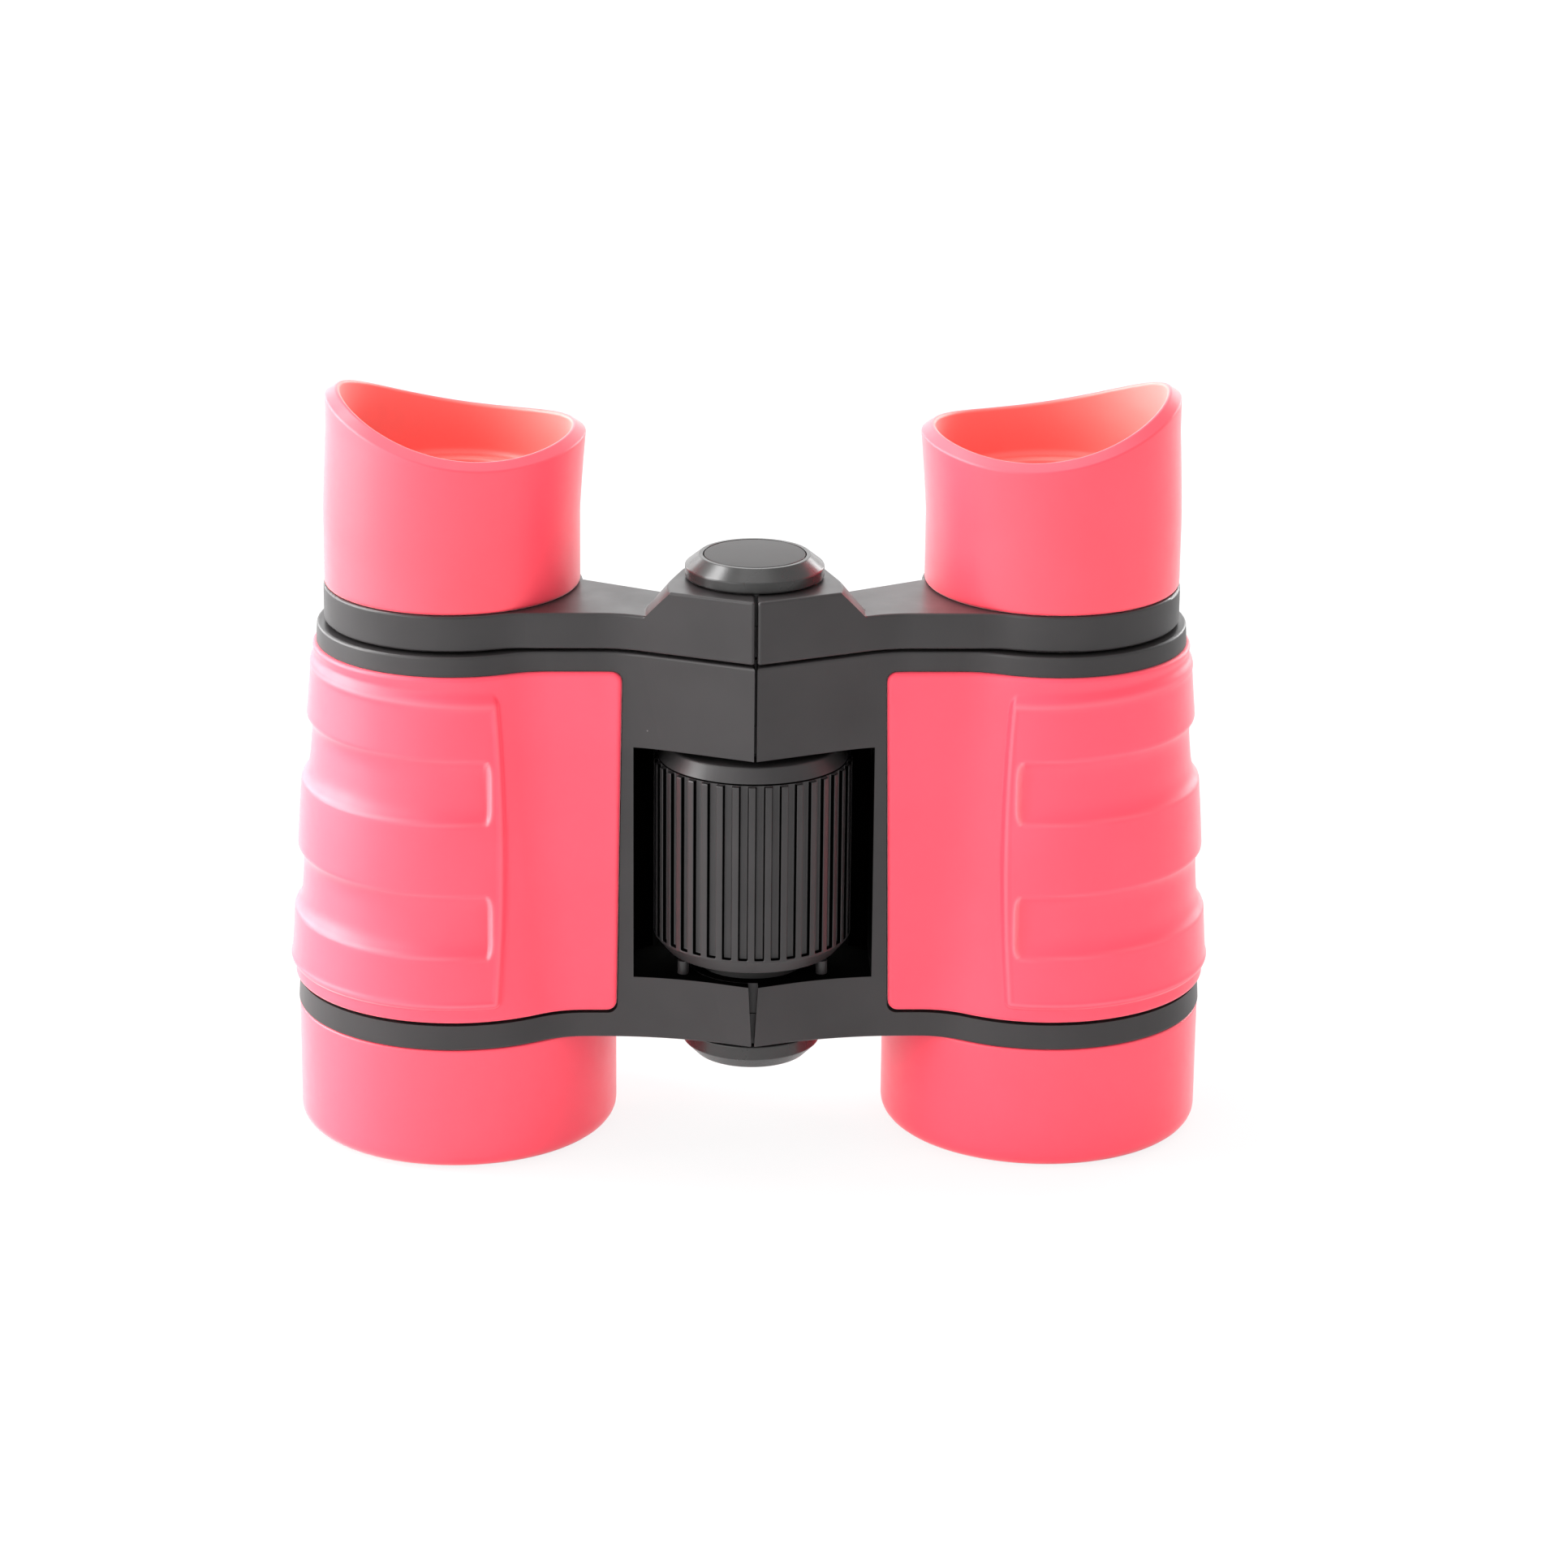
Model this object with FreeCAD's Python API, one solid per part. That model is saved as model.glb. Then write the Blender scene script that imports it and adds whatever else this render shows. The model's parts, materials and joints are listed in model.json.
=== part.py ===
import FreeCAD, Part
import math
import os

# Toy binoculars, standing on their two objective hoods with the eyecups up.
# Millimetres. +Z up, +X to the viewer's right, -Y towards the viewer, who sees the focus wheel.
# The origin is in the middle of the width and depth, on the surface that the hoods stand on.

V = FreeCAD.Vector

# ---- layout in plan -----------------------------------------------------------------------
axis_spacing = 67.0      # between the two barrel axes, fully unfolded
barrel_setback = 0.6     # the barrel axes lie this far behind the middle of the depth
hinge_lead = 9.0         # the fold axis lies this far in front of the barrel axes
fold_angle = 40.0        # degrees that the right half can swing back
focus_travel = 5.0       # rise of the eyepiece bridge

# ---- heights, from the ground up ----------------------------------------------------------
hood_height = 14.5
lower_block = 7.3        # web below the wheel window
window_height = 26.9
upper_block = 10.9       # web above the wheel window
bridge_gap = 0.3         # between the bodies and the eyepiece bridge
bridge_height = 4.1
hub_rise = 3.05          # the hub stands this far above the bridge
lower_band = 2.9         # bare black band under the grip
upper_band = 2.2         # bare black band over the grip

# ---- fits ---------------------------------------------------------------------------------
running = 0.05           # radial clearance of a part that turns or slides in another
face_gap = 0.1           # between faces that turn on each other
knuckle_gap = 0.2        # round a hinge knuckle
seam_gap = 0.3           # between the two halves at the front ridge
wedge_margin = 1.5       # degrees kept free on each side at full fold

# ---- body outline in plan, at its foot and at its top -------------------------------------
foot_radius = 18.25      # barrel
foot_web = 13.95         # front face of the web, ahead of the barrel axis
foot_bend_start = 17.0   # distance from the middle where the web starts to bend forward
foot_bend_radius = 42.0
foot_bend_angle = 19.5
top_radius = 15.3
top_bend_start = 17.3
top_bend_radius = 12.0
top_bend_angle = 23.0
front_cove = 10.0        # hollow radius between barrel and web, front
back_cove = 4.0          # the same, back
back_web = 5.5           # back face of the web, behind the barrel axis
edge_round = 0.3         # soft edges of the moulded halves

# ---- barrel inside ------------------------------------------------------------------------
lens_radius = 15.0       # objective, 30 mm across
lens_edge = 2.0
lens_bulge = 0.9         # height of each convex face at its middle
lens_land = 1.2          # flat border of every lens
barrel_wall = 1.85       # at the foot
tube_radius = 12.25      # eyepiece tube
tube_engaged = 9.6       # length of the eyepiece tube that stays in the body at full rise
guide_margin = 1.0       # the straight guide bore runs on below the tube by this much
spigot_length = 4.0      # neck of the body inside the hood
spigot_wall = 1.1

# ---- hood ---------------------------------------------------------------------------------
hood_radius = 18.15
mouth_radius = 15.7
mouth_depth = 6.3
lens_lip = 0.9           # the lip that the objective rests on
lip_thickness = 0.9
rim_round = 2.0
ring_section = 1.1       # objective retaining ring, radial

# ---- grip ---------------------------------------------------------------------------------
grip_edge_low = 15.15    # inner edge from the middle of the object, at its lower end
grip_edge_high = 14.5    # the same at its upper end
grip_depth = 1.2         # sunk into the body
grip_proud = 0.45        # above the bands
grip_corner = 1.1
panel_edge = 5.5         # inner edge of the raised panel, from the barrel axis towards the middle
panel_proud = 0.55       # above the rest of the grip
panel_margin_low = 1.7   # from the grip's lower edge to the panel
panel_margin_high = 2.4
panel_tilt = 2.2         # the panel's top and the grooves rise outwards by this angle
groove_edge = 4.3        # inner end of the finger grooves, from the barrel axis
groove_width = 7.4
groove_depth = 0.75
lower_groove = 14.4      # middle of each finger groove, above the body's foot
upper_groove = 29.8

# ---- wheel and hinge ----------------------------------------------------------------------
window_half = 13.3       # half width of the window in the web
window_side = 5.0        # depth of the window's flat side walls
wheel_radius = 11.1
wheel_below = 2.1        # from the window's floor to the wheel
wheel_above = 0.7        # from the wheel to the window's ceiling
wheel_bevel = 1.5
wheel_bevel_height = 1.8
rib_count = 38
rib_groove_width = 0.9
rib_groove_depth = 0.6
wheel_wall = 2.6
wheel_hub_wall = 2.2
wheel_web = 5.0          # solid top plate of the wheel
cavity_gap = 1.1         # between wheel and body
pip_radius = 0.65        # small round pips beside the wheel's foot
pip_height = 1.6
pip_distance = 8.7       # from the fold axis
pip_angle = 63.0         # from straight ahead
knuckle_radius = 7.0
lower_split = 3.6        # height of the left half's lower knuckle
upper_split = 3.2        # height of the right half's upper knuckle
seam_flare = 0.8         # the lower seam widens by this much towards the window
pin_radius = 2.5
pin_head_radius = 4.6
pin_head_height = 1.8
pin_reach = 6.0          # into the wheel
bush_radius = 4.0
bush_reach = 3.2         # into the wheel
washer_radius = 6.0
screw_radius = 2.6
screw_foot = 8.2         # from the window's floor to the screw's lower end
lower_cap_radius = 7.75
lower_cap_drop = 3.2
lower_cap_bevel = 1.5

# ---- eyepiece bridge ----------------------------------------------------------------------
arm_ring_radius = 14.5
web_set_back = 1.45      # the web's front face behind the front of the arm's ring
hub_radius = 12.1        # hub at its foot, round its front centre
hub_back_radius = 10.9   # the same round the hinge; straight flanks join the two
hub_front = 4.0          # the hub's front centre lies this far ahead of the hinge
hub_lean = 2.5           # slope of the hub's sides, from foot to top
arm_back_outer = (-19.5, 0.7)   # two points on the arm's back edge, from the barrel line
arm_back_inner = (-11.6, -3.7)
arm_knuckle = 3.5        # height of the left arm's knuckle
bridge_washer_radius = 5.0
bridge_washer_height = 0.5
bolt_radius = 1.5
bolt_length = 6.0
bolt_head_radius = 2.9
bolt_head_height = 1.0
cap_radius = 7.7
cap_neck = 7.2
cap_neck_height = 0.1
cap_band_height = 1.2
cap_bevel = 1.25         # height of the sloping rim
cap_bevel_inset = 1.55
cap_disc_radius = 5.6
cap_disc_height = 0.7
cap_disc_gap = 0.1
cap_disc_crown = 0.2

# ---- eyepiece -----------------------------------------------------------------------------
tube_length_above = 9.9      # above the arm's upper face
tube_wall = 1.45
tube_neck_radius = 9.4       # clear opening in front of the eye lens
tube_neck_height = 4.5
eye_lens_radius = 10.0
eye_lens_edge = 2.6
eye_lens_hollow = 0.9
eye_ring_height = 0.8
eye_ring_section = 1.1

# ---- eyecup -------------------------------------------------------------------------------
cup_radius = 14.3
cup_wall = 1.45
cup_floor = 1.3
cup_eye_hole = 9.5
cup_front_height = 17.0      # rim height at front and back, above the arm
cup_outer_height = 22.9      # at the outer wing
cup_inner_height = 18.1      # towards the middle
cup_straight = 9.5           # the wall starts to lean above this height
cup_lean = 0.45              # shift of the rim towards the middle
cup_flare = 0.25             # growth of the radius at the rim

# ---- levels and places that follow --------------------------------------------------------
top_web = arm_ring_radius - web_set_back      # the body's top is flush with the arm
foot = hood_height
floor = foot + lower_block
ceiling = floor + window_height
top = ceiling + upper_block
arm_foot = top + bridge_gap
arm_top = arm_foot + bridge_height
hub_top = arm_top + hub_rise
wheel_foot = floor + wheel_below
wheel_top = ceiling - wheel_above
lip_top = mouth_depth + lip_thickness
tube_foot = top - tube_engaged - focus_travel
cup_seat = arm_top + tube_length_above
barrel = V(-axis_spacing / 2, barrel_setback, 0)
hinge = V(0, barrel_setback - hinge_lead, 0)
guide_radius = tube_radius + running
reach = axis_spacing + 2 * foot_radius      # longer than anything it has to cut


def disc(radius, low, high, at=hinge):
    """Upright cylinder between two levels."""
    return Part.makeCylinder(radius, high - low, V(at.x, at.y, low))


def ring(outer, inner, low, high, at=hinge):
    """Upright tube between two levels."""
    return disc(outer, low, high, at).cut(disc(inner, low, high, at))


def turned(profile, at=hinge):
    """Solid of revolution: (radius, height) corners about the upright line through a point."""
    corners = [V(at.x + radius, at.y, height) for radius, height in profile]
    face = Part.Face(Part.makePolygon(corners + corners[:1]))
    return face.revolve(V(at.x, at.y, 0), V(0, 0, 1), 360)


def block(x_low, x_high, y_low, y_high, low, high):
    """Box between six planes."""
    return Part.makeBox(x_high - x_low, y_high - y_low, high - low, V(x_low, y_low, low))


def prism(points, low, high):
    """Upright prism over a polygon of (x, y) corners."""
    corners = [V(x, y, low) for x, y in points]
    return Part.Face(Part.makePolygon(corners + corners[:1])).extrude(V(0, 0, high - low))


def mirrored(shape):
    """The same shape on the right-hand side."""
    return shape.mirror(V(0, 0, 0), V(1, 0, 0))


def arc(centre, radius, start, end, level):
    """Arc about a centre between two angles in degrees."""
    def point(angle):
        turn = math.radians(angle)
        return V(centre.x + radius * math.cos(turn), centre.y + radius * math.sin(turn), level)
    return Part.Arc(point(start), point((start + end) / 2), point(end)).toShape()


def angle_of(vector):
    """Direction of a vector in plan, in degrees."""
    return math.degrees(math.atan2(vector.y, vector.x))


def outline(level, radius, web, bend_start, bend_radius, bend_angle, grow):
    """Closed outline of the left half in plan, grown outwards by a margin.

    It runs from the front ridge along the straight cheek, the bend, the flat web and the cove
    to the barrel, round the barrel, and back along the cove and the back web to the seam.
    """
    front = barrel.y - web
    back = barrel.y + back_web
    cove_x = barrel.x + math.sqrt((radius + front_cove) ** 2 - (web + front_cove) ** 2)
    cove = V(cove_x, front - front_cove, 0)
    rear_x = barrel.x + math.sqrt((radius + back_cove) ** 2 - (back_web + back_cove) ** 2)
    rear = V(rear_x, back + back_cove, 0)
    bend = V(-bend_start, front - bend_radius, 0)
    to_cove = angle_of(cove - barrel)
    to_rear = angle_of(rear - barrel)
    seam = -seam_gap / 2
    bend_arc = arc(bend, bend_radius - grow, 90, 90 - bend_angle, level)
    cheek_start = bend_arc.Vertexes[-1].Point
    cheek_fall = (seam - cheek_start.x) * math.tan(math.radians(bend_angle))
    ridge = V(seam, cheek_start.y - cheek_fall, level)
    back_corner = V(seam, back + grow, level)
    flat_start = V(cove.x, front - grow, level)
    flat_end = V(bend.x, front - grow, level)
    rear_end = V(rear.x, back + grow, level)
    edges = [
        Part.makeLine(back_corner, ridge),
        Part.makeLine(ridge, cheek_start),
        bend_arc,
        Part.makeLine(flat_end, flat_start),
        arc(cove, front_cove - grow, 90, 180 + to_cove, level),
        arc(barrel, radius + grow, to_cove, -180, level),
        arc(barrel, radius + grow, 180, to_rear, level),
        arc(rear, back_cove - grow, 180 + to_rear, 270, level),
        Part.makeLine(rear_end, back_corner),
    ]
    return Part.Wire(Part.__sortEdges__(edges))


def hull(grow, low=foot, high=top):
    """The left half's outer form from foot to top, grown by a margin."""
    wide = outline(foot, foot_radius, foot_web, foot_bend_start,
                   foot_bend_radius, foot_bend_angle, grow)
    slim = outline(top, top_radius, top_web, top_bend_start,
                   top_bend_radius, top_bend_angle, grow)
    form = Part.makeLoft([wide, slim], True, True)
    if low > foot or high < top:
        form = form.common(block(-reach, reach, -reach, reach, low, high))
    return form


def flat_edges(shape, level):
    """The edges of a shape that lie flat at a level."""
    return [edge for edge in shape.Edges
            if abs(edge.BoundBox.ZMin - level) < 1e-3 and abs(edge.BoundBox.ZMax - level) < 1e-3]


def ridge_edges(shape):
    """The upright edges of a left half where its front face meets the seam."""
    seam = -seam_gap / 2
    return [edge for edge in shape.Edges
            if abs(edge.CenterOfMass.x - seam) < 1e-3
            and edge.CenterOfMass.y < hinge.y - knuckle_radius
            and edge.BoundBox.ZMax - edge.BoundBox.ZMin > hub_rise]


def fold_wedge(low, high):
    """The space behind the fold axis that stays free for the swinging half."""
    half = math.radians(fold_angle / 2 + wedge_margin)
    far_x = reach * math.sin(half)
    far_y = hinge.y + reach * math.cos(half)
    return prism([(hinge.x, hinge.y), (far_x, far_y), (-far_x, far_y)], low, high)


def knuckled(shape, own, other):
    """Clear the other half's knuckle out of a half and add its own."""
    for low, high in other:
        shape = shape.cut(disc(knuckle_radius + knuckle_gap, low - face_gap, high + face_gap))
    for low, high in own:
        shape = shape.fuse(disc(knuckle_radius, low, high))
    return shape


def side_view(corners):
    """Prism through the whole depth over a polygon of (x, height) corners."""
    points = [V(x, -reach, height) for x, height in corners]
    return Part.Face(Part.makePolygon(points + points[:1])).extrude(V(0, 2 * reach, 0))


def grip_zone():
    """The room that the grip takes along the barrel: its inner edge leans, with round corners."""
    low = foot + lower_band
    high = top - upper_band
    zone = side_view([(-reach, low), (-grip_edge_low, low),
                      (-grip_edge_high, high), (-reach, high)])
    corners = [edge for edge in zone.Edges
               if edge.CenterOfMass.x > -reach / 2 and edge.Length > reach]
    return zone.makeFillet(grip_corner, corners)


def finger_groove(height, radius):
    """Shallow trough round the outer side of the grip."""
    depth = groove_depth
    bow = ((groove_width / 2) ** 2 + depth ** 2) / (2 * depth)
    centre = V(barrel.x + radius + bow - depth, barrel.y, height)
    trough = Part.Face(Part.Wire(Part.makeCircle(bow, centre, V(0, 1, 0))))
    trough = trough.revolve(V(barrel.x, barrel.y, 0), V(0, 0, 1), 360)
    trough.rotate(V(barrel.x + groove_edge, barrel.y, height), V(0, 1, 0), panel_tilt)
    return trough.common(block(-reach, barrel.x + groove_edge, -reach, reach, foot, top))


def grip_skin_radius(height):
    """Radius of the raised panel at a height above the body's foot."""
    share = height / (top - foot)
    return foot_radius + (top_radius - foot_radius) * share + grip_proud + panel_proud


def grip():
    """Soft cover of the left barrel: base skin, raised panel and two finger grooves."""
    zone = grip_zone()
    skin = hull(grip_proud).common(zone)
    low = foot + lower_band + panel_margin_low
    high = top - upper_band - panel_margin_high
    side = barrel.x + panel_edge
    far = barrel.x - 2 * foot_radius
    rise = (side - far) * math.tan(math.radians(panel_tilt))
    panel_room = side_view([(far, low), (side, low), (side, high), (far, high + rise)])
    panel = hull(grip_proud + panel_proud).common(panel_room)
    cover = skin.fuse(panel)
    for height in (lower_groove, upper_groove):
        cover = cover.cut(finger_groove(foot + height, grip_skin_radius(height)))
    return cover.cut(hull(-grip_depth)).removeSplitter()


def barrel_inside():
    """Light path through the left body: cone, then the straight guide bore at the top."""
    wide = foot_radius - grip_depth - barrel_wall
    guide_foot = tube_foot - guide_margin
    cone = Part.makeCone(wide, guide_radius, guide_foot - foot, V(barrel.x, barrel.y, foot))
    return cone.fuse(disc(guide_radius, guide_foot, top, barrel))


def spigot():
    """Neck below the left body that the hood is pushed onto."""
    inner = foot_radius - grip_depth - barrel_wall
    return ring(inner + spigot_wall, inner, foot - spigot_length, foot, barrel)


def wheel_cavity():
    """Room for the wheel, open to the front through the window."""
    round_room = disc(wheel_radius + cavity_gap, floor, ceiling)
    front_room = block(-window_half, window_half, -reach, hinge.y + window_side, floor, ceiling)
    return round_room.fuse(front_room)


def seam_flare_cut():
    """The lower front seam opens towards the window."""
    wide = (seam_gap + seam_flare) / 2
    narrow = seam_gap / 2
    corners = [V(-narrow, 0, foot), V(narrow, 0, foot), V(wide, 0, floor), V(-wide, 0, floor)]
    face = Part.Face(Part.makePolygon(corners + corners[:1]))
    face.translate(V(0, hinge.y - knuckle_radius, 0))
    return face.extrude(V(0, -reach, 0))


def pip():
    """Small round pip on the window's floor."""
    turn = math.radians(pip_angle)
    at = V(hinge.x - pip_distance * math.sin(turn), hinge.y - pip_distance * math.cos(turn), 0)
    return disc(pip_radius, floor - pip_height, floor + pip_height, at)


def half_body():
    """Left body without knuckles: barrel, bands, web with its window, and hood neck."""
    shape = hull(0)
    shape = shape.makeFillet(edge_round, flat_edges(shape, foot) + flat_edges(shape, top))
    shape = shape.cut([grip_zone().cut(hull(-grip_depth)), wheel_cavity(),
                       seam_flare_cut(), fold_wedge(foot, top)])
    return shape.fuse([spigot(), pip()]).cut(barrel_inside())


def body_levels():
    """Heights of the knuckles: the left half's pair and the right half's pair between them."""
    left = [(foot, foot + lower_split), (ceiling + upper_split + face_gap, top)]
    right = [(foot + lower_split + face_gap, floor), (ceiling, ceiling + upper_split)]
    return left, right


def bodies():
    """Both bodies, hinged through their interleaved knuckles."""
    left_levels, right_levels = body_levels()
    half = half_body()
    pin_hole = disc(pin_radius, foot, floor)
    bush_hole = disc(bush_radius, ceiling, top)
    left = knuckled(half, left_levels, right_levels).cut([pin_hole, bush_hole])
    free_pin_hole = disc(pin_radius + running, foot, floor)
    free_bush_hole = disc(bush_radius + running, ceiling, top)
    right = knuckled(mirrored(half), right_levels, left_levels)
    return left.removeSplitter(), right.cut([free_pin_hole, free_bush_hole]).removeSplitter()


def hood():
    """Left objective hood with its rounded rim, lens lip and socket for the body's neck."""
    lens_room = lens_radius + running
    socket = foot_radius - grip_depth - barrel_wall + spigot_wall
    profile = [
        (mouth_radius, 0), (hood_radius, 0), (hood_radius, foot), (socket, foot),
        (socket, foot - spigot_length), (lens_room, foot - spigot_length),
        (lens_room, lip_top), (lens_radius - lens_lip, lip_top),
        (lens_radius - lens_lip, mouth_depth), (mouth_radius, mouth_depth),
    ]
    shape = turned(profile, barrel)
    rim = [edge for edge in shape.Edges
           if abs(edge.CenterOfMass.z) < 1e-6 and edge.Length > 2 * math.pi * hood_radius - 1]
    return shape.makeFillet(rim_round, rim)


def lens(radius, edge, low, bow, at):
    """Round lens standing on a level, with two faces bowed out (or in, for a negative bow).

    A flat border stays round each bowed face, where the lens is held.
    """
    bowed = radius - lens_land
    ball = (bowed ** 2 + bow ** 2) / (2 * abs(bow))
    turn = math.asin(bowed / ball) / 2
    sag = math.copysign(abs(bow) - ball * (1 - math.cos(turn)), bow)
    between = at.x + ball * math.sin(turn)
    edges = []
    for level, sign in ((low + edge, 1), (low, -1)):
        land = V(at.x + bowed, at.y, level)
        middle = V(at.x, at.y, level + sign * bow)
        bowed_arc = Part.Arc(land, V(between, at.y, level + sign * sag), middle)
        edges.append(Part.makeLine(V(at.x + radius, at.y, level), land))
        edges.append(bowed_arc.toShape())
    edges.append(Part.makeLine(V(at.x, at.y, low - bow), V(at.x, at.y, low + edge + bow)))
    edges.append(Part.makeLine(V(at.x + radius, at.y, low), V(at.x + radius, at.y, low + edge)))
    face = Part.Face(Part.Wire(Part.__sortEdges__(edges)))
    return face.revolve(V(at.x, at.y, 0), V(0, 0, 1), 360)


def objective_lens():
    """Left objective, resting on the hood's lip."""
    return lens(lens_radius, lens_edge, lip_top, lens_bulge, barrel)


def objective_ring():
    """Ring that holds the objective down, under the body's neck."""
    outer = lens_radius + running
    return ring(outer, outer - ring_section, lip_top + lens_edge, foot - spigot_length, barrel)


def focus_wheel():
    """Ribbed wheel with bevelled ends, threaded core and hollow underside."""
    rim = wheel_radius - wheel_bevel
    shape = turned([
        (0, wheel_foot), (rim, wheel_foot), (wheel_radius, wheel_foot + wheel_bevel_height),
        (wheel_radius, wheel_top - wheel_bevel_height),
        (wheel_radius - rib_groove_depth, wheel_top - wheel_bevel_height),
        (rim, wheel_top), (0, wheel_top)])
    groove_foot = wheel_foot + wheel_bevel_height
    groove_top = wheel_top - wheel_bevel_height
    half = rib_groove_width / 2
    groove = block(-half, half, -wheel_radius - 1, rib_groove_depth - wheel_radius,
                   groove_foot, groove_top)
    grooves = []
    for index in range(rib_count):
        copy = groove.copy()
        copy.rotate(V(0, 0, 0), V(0, 0, 1), index * 360 / rib_count)
        copy.translate(hinge)
        grooves.append(copy)
    core = bush_radius + wheel_hub_wall
    hollow = ring(wheel_radius - wheel_wall, core, wheel_foot, wheel_top - wheel_web)
    pin_top = floor + pin_reach + face_gap
    bush_foot = ceiling - bush_reach - face_gap
    bores = [
        disc(pin_radius + running, wheel_foot, pin_top),
        disc(screw_radius + running, pin_top, bush_foot),
        disc(bush_radius + running, bush_foot, wheel_top),
    ]
    return shape.cut(Part.makeCompound(grooves)).cut([hollow] + bores)


def lower_washer():
    """Spacer under the wheel, held on the hinge pin."""
    return ring(washer_radius, pin_radius, floor + face_gap, wheel_foot - face_gap)


def upper_washer():
    """Spacer over the wheel, held on the hinge bush."""
    return ring(washer_radius, bush_radius, wheel_top + face_gap, ceiling - face_gap)


def hinge_pin():
    """Headed pin through the lower knuckles; its top centres the wheel."""
    shaft = disc(pin_radius, foot, floor + pin_reach)
    return shaft.fuse(disc(pin_head_radius, foot - pin_head_height, foot))


def hinge_bush():
    """Bush through the upper knuckles; its foot centres the wheel and guides the screw."""
    return ring(bush_radius, screw_radius + running, ceiling - bush_reach, top)


def lower_cap():
    """Round cap over the pin's head, under the lower knuckles."""
    base = foot - lower_cap_drop
    shape = turned([
        (0, base), (lower_cap_radius - lower_cap_bevel, base),
        (lower_cap_radius, base + lower_cap_bevel), (lower_cap_radius, foot - knuckle_gap),
        (0, foot - knuckle_gap)])
    return shape.cut(disc(pin_head_radius, foot - pin_head_height, foot))


def focus_screw():
    """Screw that lifts the bridge, with a tapped hole in its top."""
    shaft = disc(screw_radius, floor + screw_foot, hub_top + face_gap)
    return shaft.cut(disc(bolt_radius, hub_top + face_gap - bolt_length, hub_top + face_gap))


def arm_back_room():
    """Everything behind the slanting back edge of the left arm."""
    outer_x, outer_y = arm_back_outer
    inner_x, inner_y = arm_back_inner
    slope = (inner_y - outer_y) / (inner_x - outer_x)
    left_y = barrel.y + outer_y + slope * (barrel.x - arm_ring_radius - outer_x)
    right_y = barrel.y + outer_y - slope * outer_x
    left = barrel.x - arm_ring_radius
    return prism([(left, left_y), (0, right_y), (0, reach), (left, reach)], arm_foot, arm_top)


def hub_plan(inset, level):
    """Egg-shaped outline of the hub: a front and a back arc joined by straight flanks."""
    front = V(hinge.x, hinge.y - hub_front, 0)
    tilt = math.degrees(math.asin((hub_radius - hub_back_radius) / hub_front))
    fore = arc(front, hub_radius - inset, tilt, -180 - tilt, level)
    back = arc(V(hinge.x, hinge.y, 0), hub_back_radius - inset, tilt, 180 - tilt, level)
    start, end = fore.Vertexes[0].Point, fore.Vertexes[-1].Point
    first, last = back.Vertexes[0].Point, back.Vertexes[-1].Point
    edges = [fore, back, Part.makeLine(start, first), Part.makeLine(end, last)]
    return Part.Wire(Part.__sortEdges__(edges))


def half_arm():
    """Left arm without knuckle: ring round the eyepiece tube, arm and half of the hub."""
    plan = outline(arm_foot, arm_ring_radius, top_web, top_bend_start,
                   top_bend_radius, top_bend_angle, 0)
    column = Part.Face(plan).extrude(V(0, 0, hub_top - arm_foot))
    low_room = block(-reach, reach, -reach, reach, arm_foot, arm_top)
    arm = column.common(low_room).cut(arm_back_room())
    root = Part.Face(hub_plan(0, arm_foot)).extrude(V(0, 0, bridge_height))
    crown = Part.makeLoft([hub_plan(0, arm_top), hub_plan(hub_lean, hub_top)], True, True)
    eye_ring = disc(arm_ring_radius, arm_foot, arm_top, barrel)
    shape = arm.fuse([column.common(root), column.common(crown), eye_ring]).removeSplitter()
    edges = ridge_edges(shape)
    for level in (arm_foot, arm_top, hub_top):
        edges += flat_edges(shape, level)
    shape = shape.makeFillet(edge_round, edges)
    return shape.cut([disc(tube_radius, arm_foot, arm_top, barrel), fold_wedge(arm_foot, hub_top)])


def arms():
    """Both arms; the right one turns on the left one round the focus screw."""
    left_level = [(arm_foot, arm_foot + arm_knuckle)]
    right_level = [(arm_foot + arm_knuckle + face_gap, hub_top)]
    half = half_arm()
    left = knuckled(half, left_level, right_level).cut(disc(screw_radius, arm_foot, hub_top))
    free_hole = disc(screw_radius + running, arm_foot, hub_top)
    right = knuckled(mirrored(half), right_level, left_level).cut(free_hole)
    return left, right


def bridge_washer():
    """Washer on top of the focus screw that keeps the right arm down."""
    low = hub_top + face_gap
    return ring(bridge_washer_radius, bolt_radius, low, low + bridge_washer_height)


def bridge_bolt():
    """Small screw that clamps the washer to the focus screw."""
    seat = hub_top + face_gap + bridge_washer_height
    shank = disc(bolt_radius, hub_top + face_gap - bolt_length, seat)
    return shank.fuse(disc(bolt_head_radius, seat, seat + bolt_head_height))


def bridge_cap():
    """Round cap ring on the hub, round the washer, with a seat for its disc."""
    low = hub_top + face_gap
    neck_top = low + cap_neck_height
    band_top = neck_top + cap_band_height
    cap_top = band_top + cap_bevel
    seat = cap_top - cap_disc_height
    disc_room = cap_disc_radius + cap_disc_gap
    return turned([
        (bridge_washer_radius, low), (cap_neck, low), (cap_neck, neck_top),
        (cap_radius, neck_top), (cap_radius, band_top), (cap_radius - cap_bevel_inset, cap_top),
        (disc_room, cap_top), (disc_room, seat), (bridge_washer_radius, seat)])


def cap_disc():
    """Slightly crowned disc that closes the cap."""
    cap_top = hub_top + face_gap + cap_neck_height + cap_band_height + cap_bevel
    low = cap_top - cap_disc_height
    shape = disc(cap_disc_radius, low, cap_top)
    ball = (cap_disc_radius ** 2 + cap_disc_crown ** 2) / (2 * cap_disc_crown)
    crown = Part.makeSphere(ball, V(hinge.x, hinge.y, cap_top + cap_disc_crown - ball))
    return shape.fuse(crown.common(disc(cap_disc_radius, low, cap_top + cap_disc_crown)))


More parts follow.
